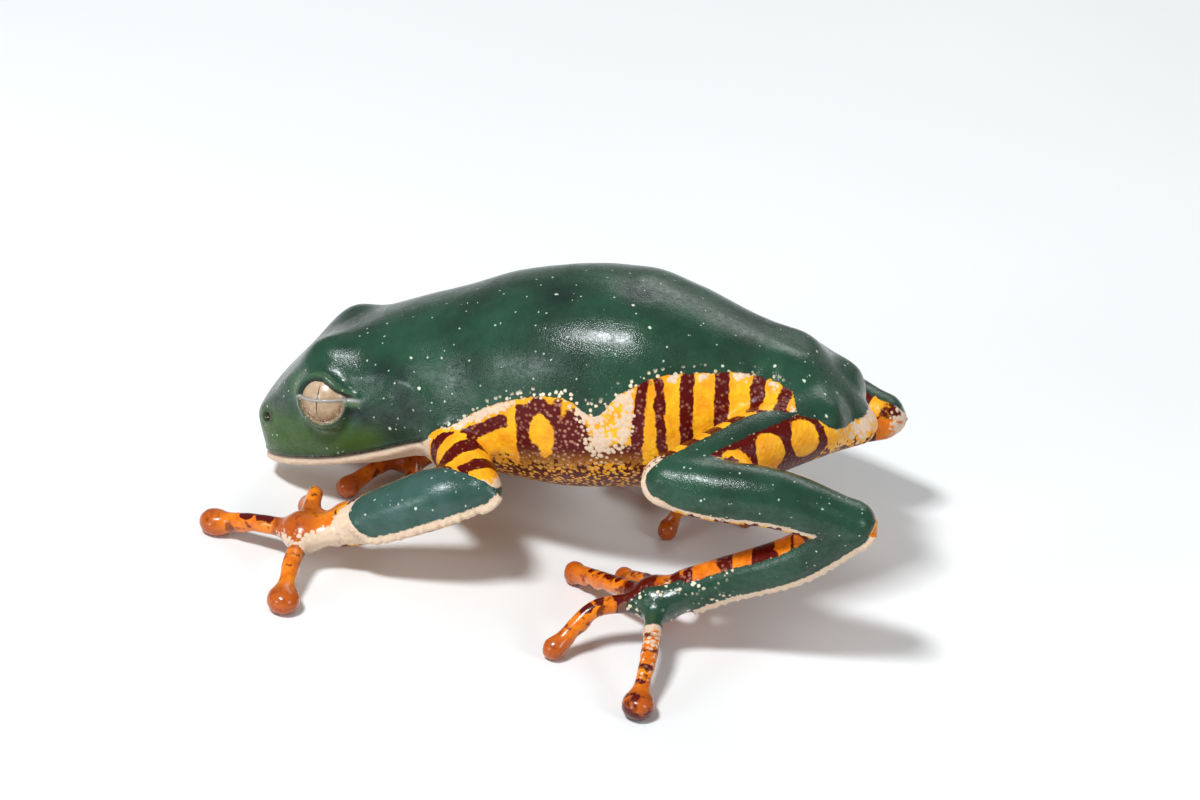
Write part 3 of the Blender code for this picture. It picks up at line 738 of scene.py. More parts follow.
def make_skin():
    """One closed skin over all the flesh, finest on the head and along the fringes."""
    skin = add_object("frog_skin", swollen_flesh())
    remesh = skin.modifiers.new("even", "REMESH")
    remesh.mode = "VOXEL"
    remesh.voxel_size = GRAIN
    remesh.adaptivity = 0.0
    smooth = skin.modifiers.new("soften", "SMOOTH")
    smooth.factor = 0.5
    smooth.iterations = SOFTENING
    bpy.context.view_layer.update()
    solved = skin.evaluated_get(bpy.context.evaluated_depsgraph_get())
    mesh = bpy.data.meshes.new_from_object(solved)
    skin.modifiers.clear()
    skin.data = mesh
    pull_to_solids(mesh)
    refine(mesh, head_detail(in_frame(BODY, read_points(mesh))))
    refine(mesh, from_pair(in_frame(BODY, read_points(mesh)), EYE) < LID_DETAIL)
    write_points(mesh, evened(mesh, read_points(mesh), LAST_PASSES))
    refine(mesh, fringe_detail(read_points(mesh)))
    return skin


def nearest_nodes(points):
    """The name of the flesh node that is nearest to each point."""
    corners, faces, owners = [], [], []
    names = flesh_nodes()
    for k, name in enumerate(names):
        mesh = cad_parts[name].data
        start = len(corners)
        corners += [vert.co / MM for vert in mesh.vertices]
        faces += [[start + v for v in face.vertices] for face in mesh.polygons]
        owners += [k] * len(mesh.polygons)
    tree = BVHTree.FromPolygons(corners, faces)
    found = [owners[tree.find_nearest(Vector(point))[2]] for point in points]
    return np.array(names, dtype=object)[found]


# The trunk's markings, from places in the body's frame


def bar_depth(place, top, bottom, half, high, low):
    """How far inside a bar across the flank each corner is."""
    x, z = place[:, 0], place[:, 2]
    share = np.clip((z - low) / (high - low), 0, 1)
    middle = bottom + (top - bottom) * share
    return np.minimum(half - np.abs(x - middle), np.minimum(high - z, z - low) + half)


def bars_depth(place):
    return np.max([bar_depth(place, *bar) for bar in BARS], axis=0)


def blot_depth(place, middle, level, length, height, lean, depth, fall):
    """How far inside an oval blot on the flank each corner is."""
    rise = place[:, 2] - level
    return depth - fall * np.hypot((place[:, 0] - middle - lean * rise) / length, rise / height)


def trunk_maroon(place):
    """The dark markings of the flank: bars, the slanting stripe, the ring and blots."""
    x, z = place[:, 0], place[:, 2]
    ends = np.minimum(x - STRIPE_ENDS[0], STRIPE_ENDS[1] - x) + 0.5
    stripe = np.minimum(STRIPE_HALF - np.abs(z - curve(STRIPE)(x)), ends)
    oval = 1 - np.hypot((x - RING_MIDDLE[0]) / RING_HALF[0], (z - RING_MIDDLE[1]) / RING_HALF[1])
    ring = 0.5 - 1.5 * np.abs(oval + 0.3)
    blots = [blot_depth(place, *blot) for blot in DARK_BLOTS]
    depth = np.maximum.reduce([bars_depth(place), stripe, ring] + blots)
    return np.where(x < FLANK_START, ABSENT, depth)


def trunk_cream(place):
    """The pale lip, the pale edge under the green, the blots of the flank and the skin round the vent."""
    x = place[:, 0]
    below = curve(BORDER)(x) - place[:, 2]
    width = curve(EDGE_WIDTH)(x)
    barred = smooth_step(-0.35, 0.1, bars_depth(place)) * (x > BARS_START)
    edge = width - np.abs(below - 0.6 * width) - 0.8 * barred
    vent = 1.2 - np.linalg.norm((place - np.array(VENT)) / VENT_HALF, axis=1)
    blots = [blot_depth(place, *blot) for blot in PALE_BLOTS]
    lip = (x < MOUTH_END + LIP_PAST) & (below > -LIP_OVER)
    return np.where(lip, LIP_DEPTH, np.maximum.reduce([edge, vent] + blots))


def trunk_belly(place, normals):
    """How much of the granular belly shows: all of it below, none at the throat."""
    x, z = place[:, 0], place[:, 2]
    downwards = -normals @ (np.array(BODY.to_3x3()) @ (0, 0, 1))
    share = np.maximum(smooth_step(*BELLY_LOOK, downwards), smooth_step(*BELLY_LEVELS, z))
    throat = (x < THROAT_END) & (z < curve(BORDER)(x))
    return np.where(throat, 0, share)


def green_granules(place):
    """How thickly pale granules lie in the green along the border with the flank."""
    x = place[:, 0]
    thick = SPRINKLED_LEAST + (1 - SPRINKLED_LEAST) * bell(x - SPRINKLED_MOST, SPRINKLED_REACH)
    return within(x, *SPRINKLED) * thick


# What each corner of the skin carries

skin = make_skin()
points = read_points(skin.data)
normals = read_normals(skin.data)
place = in_frame(BODY, points)
owner = nearest_nodes(points)
trunk = np.isin(owner, ["torso", "head", "lower_jaw"])
above_border = place[:, 2] - curve(BORDER)(place[:, 0])
stand_out = np.zeros(len(points))

marks = {
    "green": above_border.copy(),
    "maroon": trunk_maroon(place),
    "cream": trunk_cream(place),
    "belly": trunk_belly(place, normals) * trunk,
    "edge": green_granules(place) * trunk,
    "eye_place": np.zeros((len(points), 3)),
}
for name in ("digit", "tip", "deep", "blue", "lid", "rim", "ring", "tail", "eye_shade"):
    marks[name] = np.zeros(len(points))

for side in SIDES:
    for part in LIMBS[side]:
        here = owner == f"{side}_{part}"
        limb = Limb(points[here], side, part)
        green = green_depth(limb)
        marks["green"][here] = green
        marks["maroon"][here] = maroon_depth(limb)
        marks["cream"][here] = cream_depth(limb, green)
        if part in BEAD_HEIGHTS:
            stand_out[here] = bead_height(limb, green)
        if part in ("tarsus", "foot"):
            marks["edge"][here] = granule_share(limb)
        if limb.is_digit() or part in ("hand", "foot"):
            marks["digit"][here] = 1
            marks["tip"][here] = smooth_step(TIP_LENGTH, 0, limb.left)
        if limb.is_digit() or part in ("hand", "foot", "tarsus"):
            marks["deep"][here] = 1
        if part == "forearm":
            marks["blue"][here] = 1


# Shapes on the head and the trunk


def keep_most(name, values):
    marks[name] = np.maximum(marks[name], values)


def open_eye(side, moved):
    """Sinks the skin between one eye's lids to the ball or the membrane, and raises the lids' rims."""
    local = in_frame(eye_frame(side), points)
    radius = np.linalg.norm(local, axis=1)
    rear = -side * local[:, 0]
    up = local[:, 1]
    near = (local[:, 2] > EYE_FRONT) & (radius < EYE_REACH)
    over_lower = up - curve(LOWER_LID)(rear)
    under_upper = curve(UPPER_LID)(rear) - up
    behind = smooth_step(*RIM_FADE, rear)

    flatter = np.where(up > 0, OPENING_FLATTER, 1.0)
    round_depth = OPENING - np.hypot((rear - OPENING_BACK) * flatter, up + OPENING_DOWN)
    depth = np.minimum(round_depth, under_upper * 0.8)
    slit = np.minimum(np.minimum(under_upper, over_lower + 0.3), SLIT_END - rear)
    depth = np.where(rear > SLIT_START, np.maximum(depth, slit), depth)
    inside = smooth_step(-EDGE_SOFTNESS, EDGE_SOFTNESS, depth) * near
    upper = smooth_step(-LID_SOFTNESS, LID_SOFTNESS, over_lower)
    wanted = MEMBRANE + (BALL_RADIUS - BALL_GAP - MEMBRANE) * upper
    scale = 1 + inside * (wanted / np.maximum(radius, 0.1) - 1)
    middle = np.array(eye_frame(side).translation)
    moved = middle + (moved - middle) * scale[:, None]

    rim_there = np.maximum(smooth_step(-0.15, 0.05, round_depth), smooth_step(0.5, 1.2, rear) * behind)
    rim_away = over_lower + RIM_DOWN
    rim = near * bell(rim_away, RIM_WIDTH) * rim_there
    # Painted shade, kept as eye_shade: a dark line along the inside of the upper lid, another above the
    # lower rim, and a dark patch behind and below the eye's rear corner.
    lid_shadow_lines = bell(depth, 0.1) * (over_lower > 0) + 0.6 * bell(rim_away - 0.26, 0.09) * rim_there
    corner = bell(np.hypot(rear - EYE_SHADE_BACK, up + EYE_SHADE_DOWN), EYE_SHADE_REACH) * (depth < 0)
    keep_most("eye_shade", near * np.clip(lid_shadow_lines * (rear < 3.4) + corner, 0, 1))
    keep_most("rim", rim)
    keep_most("tail", near * bell(rim_away + 0.35, 0.25) * smooth_step(1.9, 2.6, rear) * behind)
    keep_most("lid", inside * (1 - upper))
    keep_most("ring", near * bell(depth + 0.22, 0.2))
    marks["eye_place"][near] = local[near]
    fold = near * bell(depth + FOLD_OUT, FOLD_WIDTH) * (over_lower > 0)
    return moved + normals * (RIM_HEIGHT * rim + FOLD_HEIGHT * fold)[:, None]


def ridge_height(line, height, width):
    """A low ridge, or a groove where its height is negative, on both sides of the head."""
    total = np.zeros(len(points))
    for side in SIDES.values():
        mirrored = [BODY @ (Vector(point) * Vector((1, side, 1))) for point in line]
        away, _, _ = along_line(points, np.array(mirrored))
        total += height * bell(away, width)
    return total


def wrinkles(phase, lengthwise, upright):
    """Rows of wrinkles across the flank, where both windows, along x and z, are open."""
    there = trunk * within(place[:, 0], *lengthwise) * within(place[:, 2], *upright)
    return WRINKLE_HEIGHT * there * (0.5 * np.sin(phase) + 0.5)


moved = points
for side in SIDES.values():
    moved = open_eye(side, moved)
points = moved

mouth_side = trunk & (place[:, 0] < MOUTH_END)
nostril = from_pair(place, NOSTRIL, NOSTRIL_STRETCH)
drum = from_pair(place, DRUM)
lip_groove = mouth_side * bell(above_border, GROOVE_WIDTH)

for line, height, width in HEAD_RIDGES:
    stand_out += ridge_height(line, height, width)
stand_out += DRUM_HEIGHT * (bell(drum - DRUM_RING, 0.5) + bell(drum, 0.7))
stand_out += NOSTRIL_RIM_HEIGHT * bell(nostril - NOSTRIL_RIM, 0.2)
stand_out -= NOSTRIL_DEPTH * smooth_step(*NOSTRIL_EDGE, nostril)
stand_out -= GROOVE_DEPTH * lip_groove
for level, width, height in (UPPER_LIP, LOWER_LIP):
    stand_out += mouth_side * height * bell(above_border - level, width)
for spot, reach, height in HOLLOWS:
    stand_out += height * bell(from_spot(place, spot), reach)
before_thigh = 2 * math.pi / THIGH_WRINKLE * place[:, 0] + 0.8 * np.sin(1.3 * place[:, 2])
behind_arm = 2 * math.pi / ARM_WRINKLE * (place[:, 0] + 0.5 * place[:, 2])
stand_out += wrinkles(before_thigh, *THIGH_WRINKLES) + wrinkles(behind_arm, *ARM_WRINKLES)

points = points + normals * stand_out[:, None]
hip = np.max([bell(from_pair(place, spot), reach) for spot, reach in HIPS], axis=0)
points += (evened(skin.data, points, HIP_PASSES) - points) * hip[:, None]
write_points(skin.data, points)

# Painted shade of the head and the back, paler places of the head, and the last of what the materials read

before_drum = smooth_step(15.5, 12.5, place[:, 0]) * smooth_step(3.5, 0.5, place[:, 2])
marks["head_pale"] = trunk * before_drum * smooth_step(-3.2, -1.5, above_border - 2.2)
marks["head_light"] = trunk * bell(from_pair(place, BROW), 1.3)
# Painted shade in the nostril's pit, coloured dark red by the material.
marks["pit"] = smooth_step(0.46, 0.36, nostril)
# Painted shade: in the mouth's groove and just above the line of the mouth, round the nostril, round the
# eyes and behind their rear corners.
lip_shade = 0.9 * lip_groove + 0.6 * mouth_side * bell(above_border - 0.3, 0.45)
dark = 0.8 * smooth_step(0.95, 0.45, nostril) + lip_shade + marks.pop("eye_shade")
marks["dark"] = np.clip(dark + 0.8 * bell(from_pair(place, EYE_CORNER_SHADE), 0.9), 0, 1)
# Painted shade in the hollows of the back, behind the eyes and round the drums.
hollows = [bell(from_spot(place, spot), reach) for spot, reach in SHADED_HOLLOWS]
cheeks = [0.9 * bell(from_pair(place, spot), reach) for spot, reach in SHADED_CHEEKS]
marks["shade"] = np.max(hollows + cheeks, axis=0)

MARK_PASSES = {"green": 2, "maroon": 1, "cream": 2, "digit": 1}
for name, values in marks.items():
    store(skin.data, name, evened(skin.data, values, MARK_PASSES.get(name, 0)))

work = bmesh.new()
work.from_mesh(skin.data)
bmesh.ops.scale(work, vec=(MM,) * 3, verts=work.verts)
for face in work.faces:
    face.smooth = True
work.to_mesh(skin.data)
work.free()


# Materials


class Sock:
    """A node's output in a material. Adding, multiplying and so on make the maths nodes."""

    def __init__(self, shader, link):
        self.shader = shader
        self.link = link

    def maths(self, operation, *values):
        return self.shader.node("ShaderNodeMath", {"operation": operation}, dict(enumerate(values)))

    def __add__(self, other):
        return self.maths("ADD", self, other)

    def __radd__(self, other):
        return self.maths("ADD", other, self)

    def __sub__(self, other):
        return self.maths("SUBTRACT", self, other)

    def __rsub__(self, other):
        return self.maths("SUBTRACT", other, self)

    def __mul__(self, other):
        return self.maths("MULTIPLY", self, other)

    def __rmul__(self, other):
        return self.maths("MULTIPLY", other, self)

    def more(self, other):
        return self.maths("MAXIMUM", self, other)

    def size(self):
        return self.maths("ABSOLUTE", self)

    def step(self, low, high):
        """A smooth change from 0 at low to 1 at high."""
        settings = {"interpolation_type": "SMOOTHSTEP"}
        ends = {"Value": self, "From Min": min(low, high), "From Max": max(low, high)}
        rising = self.shader.node("ShaderNodeMapRange", settings, ends)
        return rising if low < high else 1 - rising


class Shader:
    """A new material with the nodes that its maker asks for."""

    def __init__(self, name):
        self.material = bpy.data.materials.new(name)
        self.material.use_nodes = True
        self.tree = self.material.node_tree
        self.tree.nodes.clear()
        place = self.node("ShaderNodeTexCoord", {}, {}, "Object")
        self.place = self.vector("SCALE", {0: place, "Scale": 1 / MM})

    def node(self, kind, settings, values, output=0):
        """A node of a kind, with its settings, and with values or links in its sockets."""
        made = self.tree.nodes.new(kind)
        for key, value in settings.items():
            setattr(made, key, value)
        for key, value in values.items():
            socket = made.inputs[key]
            if isinstance(value, Sock):
                self.tree.links.new(value.link, socket)
            elif isinstance(value, (int, float)):
                socket.default_value = value
            else:
                opaque = (1.0,) * (len(socket.default_value) - len(value))
                socket.default_value = tuple(value) + opaque
        return Sock(self, made.outputs[output]) if len(made.outputs) else None

    def vector(self, operation, values):
        return self.node("ShaderNodeVectorMath", {"operation": operation}, values)

    def attribute(self, name):
        return self.node("ShaderNodeAttribute", {"attribute_name": name}, {}, "Fac")

    def eye_axes(self):
        """The place across the eye and up it, in the eye's own frame."""
        local = self.node("ShaderNodeAttribute", {"attribute_name": "eye_place"}, {}, "Vector")
        return [self.node("ShaderNodeSeparateXYZ", {}, {0: local}, axis) for axis in (0, 1)]

    def noise(self, scale, detail, rough=0.5):
        """Noise from -1 to 1, with features about 1/scale millimetres across."""
        values = {"Vector": self.place, "Scale": scale, "Detail": detail, "Roughness": rough}
        return (self.node("ShaderNodeTexNoise", {}, values) - 0.5) * 2.0

    def wander(self, scale, detail):
        """A vector that changes smoothly from place to place."""
        values = {"Vector": self.place, "Scale": scale, "Detail": detail}
        return self.node("ShaderNodeTexNoise", {}, values, "Color")

    def cells(self, vector, scale, feature="F1", output="Distance"):
        values = {"Vector": vector, "Scale": scale}
        return self.node("ShaderNodeTexVoronoi", {"feature": feature}, values, output)

    def dots(self, vector, scale, radius, absent):
        """Round dots at random places, one to a cell at most, and none in the absent share of the cells."""
        colour = self.cells(vector, scale, output="Color")
        chance = self.node("ShaderNodeSeparateColor", {}, {0: colour}, 0)
        return self.cells(vector, scale).step(radius, radius * 0.6) * chance.step(absent, absent + 0.03)

    def mix(self, share, one, two):
        """The colour one where share is 0, and two where it is 1."""
        return self.node("ShaderNodeMix", {"data_type": "RGBA"}, {0: share, 6: one, 7: two}, 2)

    def bump(self, height, strength, distance):
        values = {"Height": height, "Strength": strength, "Distance": distance}
        return self.node("ShaderNodeBump", {}, values)

    def finish(self, values):
        made = self.node("ShaderNodeBsdfPrincipled", {}, values)
        self.node("ShaderNodeOutputMaterial", {}, {"Surface": made})
        return self.material


# Colours
DEEP_GREEN = (0.011, 0.031, 0.019)
LIT_GREEN = (0.018, 0.066, 0.035)
LEAF_GREEN = (0.042, 0.090, 0.011)
PALE_GREEN = (0.10, 0.19, 0.08)
MIST_GREEN = (0.050, 0.105, 0.095)
SEA_GREEN = (0.020, 0.058, 0.052)
# The colour of the painted shade in the green.
SHADE_GREEN = (0.007, 0.016, 0.014)
# The colour of the painted shade on the head.
SHADE_BLUE_BLACK = (0.006, 0.014, 0.016)
ORANGE = (0.80, 0.30, 0.010)
YELLOW = (0.92, 0.47, 0.014)
GRAIN_YELLOW = (1.0, 0.62, 0.12)
EMBER = (0.56, 0.10, 0.004)
BRIGHT_EMBER = (0.86, 0.25, 0.009)
TIP_BROWN = (0.34, 0.055, 0.006)
MAROON = (0.085, 0.002, 0.001)
ROSE = (0.50, 0.22, 0.17)
# Painted shade in the nostril's pit.
PIT_SHADE_RED = (0.055, 0.005, 0.004)
CREAM = (0.72, 0.56, 0.38)
PINK_CREAM = (0.66, 0.46, 0.35)
GRANULE_CREAM = (0.80, 0.66, 0.48)
SPOT_WHITE = (0.72, 0.78, 0.62)
IRIS = (0.50, 0.36, 0.23)
DARK_IRIS = (0.34, 0.21, 0.12)
LIGHT_IRIS = (0.58, 0.43, 0.29)
VEIN = (0.11, 0.055, 0.03)
PUPIL = (0.008, 0.006, 0.006)
RIM_GREY = (0.34, 0.34, 0.32)

# The grain of the patterns, in features to a millimetre.
WIDE_CLOUDS = 0.12
CLOUDS = 0.7
FINE_CLOUDS = 2.6
BLOTCHES = 0.9
PEBBLES = 2.3
PIMPLES = 7.0
IRIS_GRAIN = 2.2
VEIN_NET = 4.2
FLOOR_CLOUDS = 0.01

# Scattered dots: cells to a millimetre, the radius in cells, and the share of the cells without one.
WHITE_SPOTS = (0.42, 0.085, 0.42)
SMALL_SPOTS = (1.25, 0.14, 0.4)
SPRINKLES = (2.0, 0.42, 0.16)

# The finish of the skin, the eyes and the floor. The relief is the height of the finest bumps.
RELIEF = 0.1
RELIEF_STRENGTH = 0.6
SKIN_ROUGHNESS = 0.34
SKIN_COAT_ROUGHNESS = 0.24
SKIN_SPECULAR = 0.2
DIGIT_COAT = 0.4
EYE_ROUGHNESS = 0.3
EYE_COAT = 0.25
EYE_COAT_ROUGHNESS = 0.12
FLOOR_ROUGHNESS = 0.6

FLOOR_LOW = (0.80, 0.80, 0.79)
FLOOR_HIGH = (0.86, 0.86, 0.85)


def eye_colour(shader, across, up, veins_share):
    """The beige iris with brown veins and the thin upright pupil."""
    fine = shader.noise(IRIS_GRAIN, 3.0)
    base = shader.mix(fine.step(-0.6, 0.7), DARK_IRIS, IRIS)
    base = shader.mix(up.step(0.2, 1.8) * 0.5, base, LIGHT_IRIS)
    bent = shader.vector("ADD", {0: shader.place, 1: shader.wander(1.6, 3.0)})
    net = shader.cells(bent, VEIN_NET, "DISTANCE_TO_EDGE")
    veins = (net - fine * 0.03).step(0.13, 0.03) * veins_share
    base = shader.mix(veins, base, VEIN)
    slit = (across - up * 0.10 + 0.05).size() + up * up * 0.03
    return shader.mix(slit.step(0.10, 0.06) * 0.85, base, PUPIL)


class SkinShader(Shader):
    """The frog's skin: green back, barred warm flanks and limbs, pale lips and fringes, lower lids."""

    def __init__(self, name):
        super().__init__(name)
        self.wide = self.noise(WIDE_CLOUDS, 2.0)
        self.medium = self.noise(CLOUDS, 3.0)
        self.fine = self.noise(FINE_CLOUDS, 3.0)
        self.pebble = self.cells(self.place, PEBBLES)
        self.green = self.attribute("green")
        self.digit = self.attribute("digit")
        self.edge = self.attribute("edge")
        self.deep = self.attribute("deep")
        self.belly = self.attribute("belly")
        self.dark = self.attribute("dark")
        self.lid = self.attribute("lid")

    def back(self):
        """Clouded greens, paler before the eye, with white spots and a sprinkled edge, painted shade in
        hollows, behind the eye and round the drum, and a bluer forearm that is partly painted sheen.
        """
        wide, medium, fine = self.wide, self.medium, self.fine
        back = self.mix((wide + medium * 0.3).step(-0.5, 0.5), DEEP_GREEN, LIT_GREEN)
        back = self.mix((wide * 0.6 + fine * 0.3 + medium * 0.5).step(0.1, 0.6) * 0.4, back, SEA_GREEN)
        # The forearm is misty blue-green: partly its own bluer tint, and partly painted sheen in clouds.
        sheen = (medium + wide * 0.5).step(-0.5, 0.6)
        back = self.mix(self.attribute("blue") * (0.35 + sheen * 0.4), back, MIST_GREEN)
        # Painted shade in the hollows of the back, behind the eyes and round the drums.
        back = self.mix(self.attribute("shade") * 0.8, back, SHADE_GREEN)
        back = self.mix(self.attribute("head_pale") * 0.85, back, LEAF_GREEN)
        back = self.mix(self.attribute("head_light") * 0.6, back, PALE_GREEN)
        moved = self.vector("MULTIPLY_ADD", {0: self.wander(3.0, 1.0), 1: (0.22,) * 3, 2: self.place})
        spots = self.dots(moved, *WHITE_SPOTS).more(self.dots(moved, *SMALL_SPOTS) * 0.75)
        back = self.mix(spots * 0.8, back, SPOT_WHITE)
        depth = self.green * (1.55 - self.edge) + fine * 0.3
        sprinkled = self.dots(moved, *SPRINKLES) * depth.step(0.95, 0.45) * self.edge.step(0.1, 0.5)
        return self.mix(sprinkled, back, GRANULE_CREAM)

    def ground(self):
        """The yellow and orange under the markings, deeper on hands and feet and brown at the tips."""
        medium, fine = self.medium, self.fine
        tip = self.attribute("tip")
        ground = self.mix(medium.step(-0.4, 0.5), ORANGE, YELLOW)
        ember = self.mix((medium + fine * 0.4).step(-0.6, 0.6), EMBER, BRIGHT_EMBER)
        ground = self.mix(self.deep, ground, ember)
        marbled = (fine * 0.3 + self.noise(BLOTCHES, 2.0, 0.45) * 1.3).step(0.16, 0.42)
        marbled = marbled * self.digit * (1 - tip * 0.7) * 0.85
        ground = self.mix(tip * (fine * 0.5 + 0.75 + medium * 0.4), ground, TIP_BROWN)
        return ground, marbled

    def flank(self):
        """The ground with maroon bars, speckles and blotches, granules, and cream over them."""
        medium, fine, pebble = self.medium, self.fine, self.pebble
        digit, belly, edge = self.digit, self.belly, self.edge
        ground, marbled = self.ground()
        marks = (self.attribute("maroon") + medium * 0.34 + fine * 0.16).step(-0.07, 0.07)
        marks = marks * (1 - belly * 0.75)
        speckle = (pebble + fine * 0.35 + medium * 0.12 - (1 - belly) * 0.5).step(0.34, 0.48)
        speckle = speckle * belly.step(0.02, 0.3)
        flank = self.mix(marks.more(marbled).more(speckle), ground, MAROON)
        rosy = (pebble + fine * 0.15).step(0.46, 0.3) * marks * edge * (0.35 + belly * 0.5 + edge * 0.3)
        flank = self.mix(rosy * (1 - digit), flank, ROSE)
        grain = pebble.step(0.3, 0.12) * (1 - digit) * (1 - self.deep)
        flank = self.mix(grain * 0.16, flank, GRAIN_YELLOW)
        granule = pebble.step(0.24, 0.14) * belly.step(0.0, 0.4) * 0.65
        flank = self.mix(granule, flank, CREAM)
        pale = self.mix(fine.step(-0.5, 0.5), PINK_CREAM, CREAM)
        pale = self.mix(marks * digit * 0.85, pale, MAROON)
        pebbled = (0.36 - pebble) * 0.75 * (1 - digit * 0.2)
        cream = self.attribute("cream") + pebbled + fine * 0.12 + medium * 0.15 * digit
        return self.mix(cream.step(-0.1, 0.08), flank, pale)

    def head(self, base):
        """Painted shade round the eye, the nostril and the mouth, the nostril's pit shaded dark red, paler
        places round the eye, and the lower lid with its rim.
        """
        # Painted shade round the nostril, along the mouth and round the eyes.
        base = self.mix(self.dark * 0.75, base, SHADE_BLUE_BLACK)
        base = self.mix(self.attribute("pit"), base, PIT_SHADE_RED)
        base = self.mix(self.attribute("ring") * 0.35 * (1 - self.dark), base, PALE_GREEN)
        across, up = self.eye_axes()
        outer = (across * across + up * up - across * 0.9).step(1.0, 4.6)
        base = self.mix(self.lid, base, eye_colour(self, across, up, outer))
        base = self.mix(self.attribute("tail") * 0.7, base, PALE_GREEN)
        return self.mix(self.attribute("rim"), base, RIM_GREY)

    def make(self):
        medium, fine, digit = self.medium, self.fine, self.digit
        in_green = (self.green + fine * 0.22 + medium * 0.1).step(-0.06, 0.06)
        base = self.head(self.mix(in_green, self.flank(), self.back()))
        pimples = self.cells(self.place, PIMPLES)
        is_green = self.green.step(-0.1, 0.1)
        height = (pimples * 0.35 + fine * 0.12) * (0.35 + is_green * 0.65)
        height = height + (1 - is_green) * (1 - digit) * self.pebble * -0.9
        height = height * (1 - self.lid)
        glint = (fine * 0.7 + medium * 0.5 - pimples * 0.4 + 0.15).step(-0.6, 0.7) * 0.75
        return self.finish({
            "Base Color": base,
            "Roughness": SKIN_ROUGHNESS + fine * 0.05 - digit * 0.16 - self.lid * 0.1 - is_green * 0.11,
            "Normal": self.bump(height, RELIEF_STRENGTH, RELIEF * MM),
            "Coat Weight": is_green * glint + digit * DIGIT_COAT,
            "Coat Roughness": SKIN_COAT_ROUGHNESS,
            "Specular IOR Level": SKIN_SPECULAR,
        })


def eye_material():
    shader = Shader("frog_eye")
    across, up = shader.eye_axes()
    outer = (across * across + up * up).step(2.6, 5.0) * 0.6
    base = eye_colour(shader, across, up, outer)
    return shader.finish({
        "Base Color": base,
        "Roughness": EYE_ROUGHNESS,
        "Coat Weight": EYE_COAT,
        "Coat Roughness": EYE_COAT_ROUGHNESS,
    })


def floor_material():
    shader = Shader("pale_floor")
    base = shader.mix(shader.noise(FLOOR_CLOUDS, 3.0).step(-1, 1), FLOOR_LOW, FLOOR_HIGH)
    return shader.finish({"Base Color": base, "Roughness": FLOOR_ROUGHNESS})


skin.data.materials.clear()
skin.data.materials.append(SkinShader("frog_skin").make())
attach(skin, "root")
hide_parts(*flesh_nodes())

# The eyes


def make_eye(side_name, finish):
    """One eyeball, with each corner's place in the eye's own frame kept for its material."""
    ball = bmesh.new()
    bmesh.ops.create_uvsphere(ball, u_segments=64, v_segments=40, radius=BALL_RADIUS)
    for face in ball.faces:
        face.smooth = True
    local = np.array([vert.co for vert in ball.verts])
    bmesh.ops.transform(ball, matrix=Matrix.Scale(MM, 4) @ eye_frame(SIDES[side_name]), verts=ball.verts)
    mesh = new_mesh(f"{side_name}_eyeball", ball)
    store(mesh, "eye_place", local)
    mesh.materials.append(finish)
    eye = add_object(f"{side_name}_eyeball", mesh)
    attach(eye, "root")
    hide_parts(f"{side_name}_eye")


eye_finish = eye_material()
for side_name in SIDES:
    make_eye(side_name, eye_finish)

# The floor, the light and the camera, in metres

FLOOR_HALF = 1.2
FLOOR_BACK = 1.1
FLOOR_BEND = 0.4
FLOOR_RISE = 1.0
BEND_STEPS = 10
LIGHT_AIM = (0.0, 0.0, 0.012)
LIGHTS = {
    # place, width and height, watts, colour
    "key": ((-0.12, -0.24, 0.42), (0.10, 0.055), 2.4, (0.93, 0.97, 1.0)),
    "front": ((-0.30, -0.42, 0.16), (0.12, 0.12), 0.6, (0.90, 0.96, 1.0)),
    "side": ((0.42, -0.20, 0.26), (0.12, 0.12), 0.5, (0.90, 0.96, 1.0)),
    "back": ((0.05, 0.45, 0.40), (0.4, 0.25), 1.0, (1.0, 1.0, 1.0)),
}
ROOM_COLOUR = (0.95, 0.97, 1.0, 1.0)
ROOM_STRENGTH = 0.26

# The camera looks at the middle of the frog from a side, a height and a tilt, in degrees.
CAMERA_AZIMUTH = math.radians(10.0)
CAMERA_ELEVATION = math.radians(28.0)
CAMERA_ROLL = math.radians(8.0)
CAMERA_DISTANCE = 380.0
CAMERA_AIM = 14.7
SENSOR = 36.0
FRAME_WIDTH = 1200.0
PIXELS_PER_MM = 10.9


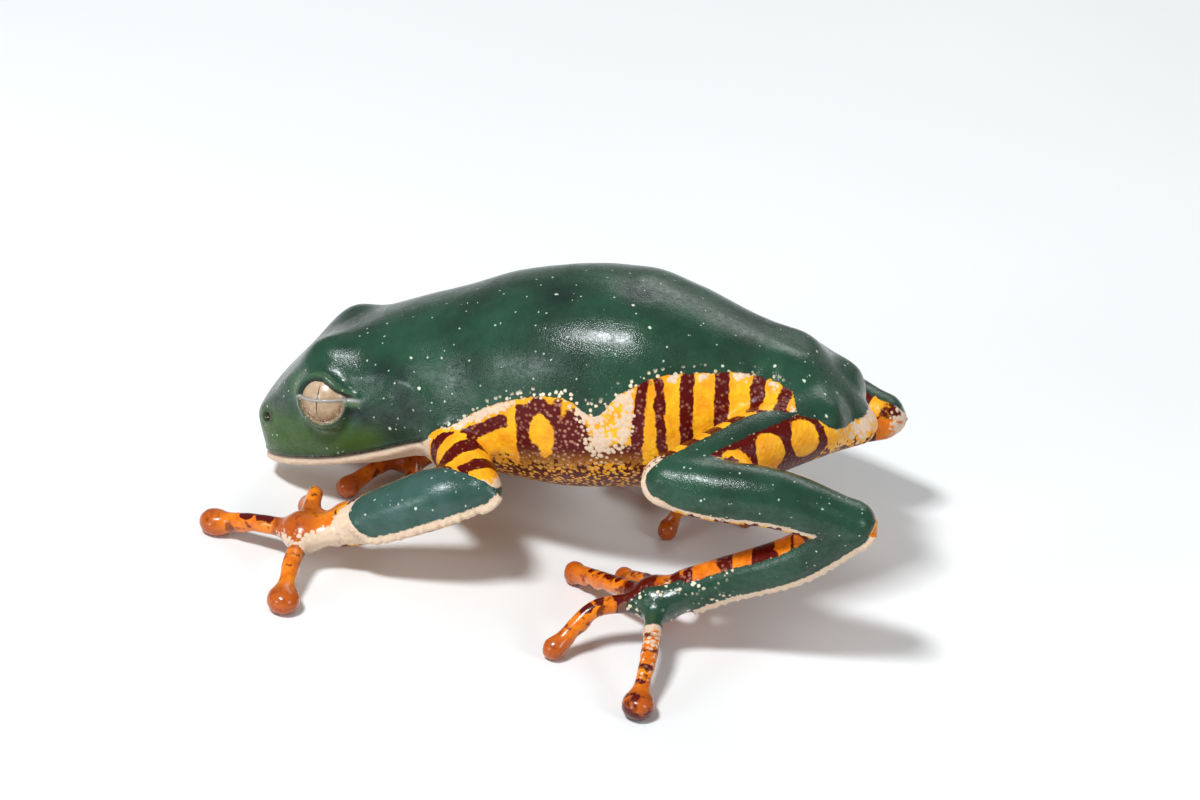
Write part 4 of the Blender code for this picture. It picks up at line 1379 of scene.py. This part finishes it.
def make_floor():
    """A wide pale sheet that curves up far behind the frog."""
    path = [(FLOOR_BACK, 0.0)]
    for i in range(1, BEND_STEPS + 1):
        angle = math.pi / 2 * i / BEND_STEPS
        path.append((FLOOR_BACK + FLOOR_BEND * math.sin(angle), FLOOR_BEND - FLOOR_BEND * math.cos(angle)))
    path.append((FLOOR_BACK + FLOOR_BEND, FLOOR_RISE))
    sheet = bmesh.new()
    start = sheet.verts.new((-FLOOR_HALF, -FLOOR_HALF, 0))
    end = sheet.verts.new((FLOOR_HALF, -FLOOR_HALF, 0))
    edge = sheet.edges.new((start, end))
    here = (-FLOOR_HALF, 0.0)
    for there in path:
        made = bmesh.ops.extrude_edge_only(sheet, edges=[edge])["geom"]
        corners = [item for item in made if isinstance(item, bmesh.types.BMVert)]
        bmesh.ops.translate(sheet, verts=corners, vec=(0, there[0] - here[0], there[1] - here[1]))
        edge = next(item for item in made if isinstance(item, bmesh.types.BMEdge))
        here = there
    bmesh.ops.recalc_face_normals(sheet, faces=sheet.faces)
    for face in sheet.faces:
        face.smooth = True
    mesh = new_mesh("floor", sheet)
    mesh.materials.append(floor_material())
    add_object("floor", mesh)


def add_light(name, place, size, power, colour):
    light = bpy.data.lights.new(name, "AREA")
    light.shape = "RECTANGLE"
    light.size = size[0]
    light.size_y = size[1]
    light.energy = power
    light.color = colour
    lamp = add_object(name, light)
    lamp.location = place
    lamp.rotation_euler = (Vector(LIGHT_AIM) - Vector(place)).to_track_quat("-Z", "Y").to_euler()


def light_room():
    for name, light in LIGHTS.items():
        add_light(name, *light)
    world = bpy.data.worlds.new("soft room")
    world.use_nodes = True
    background = world.node_tree.nodes["Background"]
    background.inputs["Color"].default_value = ROOM_COLOUR
    background.inputs["Strength"].default_value = ROOM_STRENGTH
    bpy.context.scene.world = world
    bpy.context.scene.view_settings.view_transform = "Standard"


def make_camera():
    flat = Vector((math.sin(CAMERA_AZIMUTH), -math.cos(CAMERA_AZIMUTH), 0.0)) * math.cos(CAMERA_ELEVATION)
    away = flat + Vector((0.0, 0.0, math.sin(CAMERA_ELEVATION)))
    right = Vector((math.cos(CAMERA_AZIMUTH), math.sin(CAMERA_AZIMUTH), 0.0))
    level = Matrix((right, away.cross(right), away)).transposed().to_4x4()
    middle = (SHIFT + Vector((0.0, 0.0, CAMERA_AIM))) * MM
    camera = bpy.data.cameras.new("camera")
    camera.sensor_width = SENSOR
    camera.lens = PIXELS_PER_MM * SENSOR * CAMERA_DISTANCE / FRAME_WIDTH
    camera.clip_start = 0.01
    camera.clip_end = 10.0
    holder = add_object("camera", camera)
    stand = Matrix.Translation(middle + away * CAMERA_DISTANCE * MM)
    holder.matrix_world = stand @ level @ Matrix.Rotation(CAMERA_ROLL, 4, "Z")
    bpy.context.scene.camera = holder


make_floor()
light_room()
make_camera()
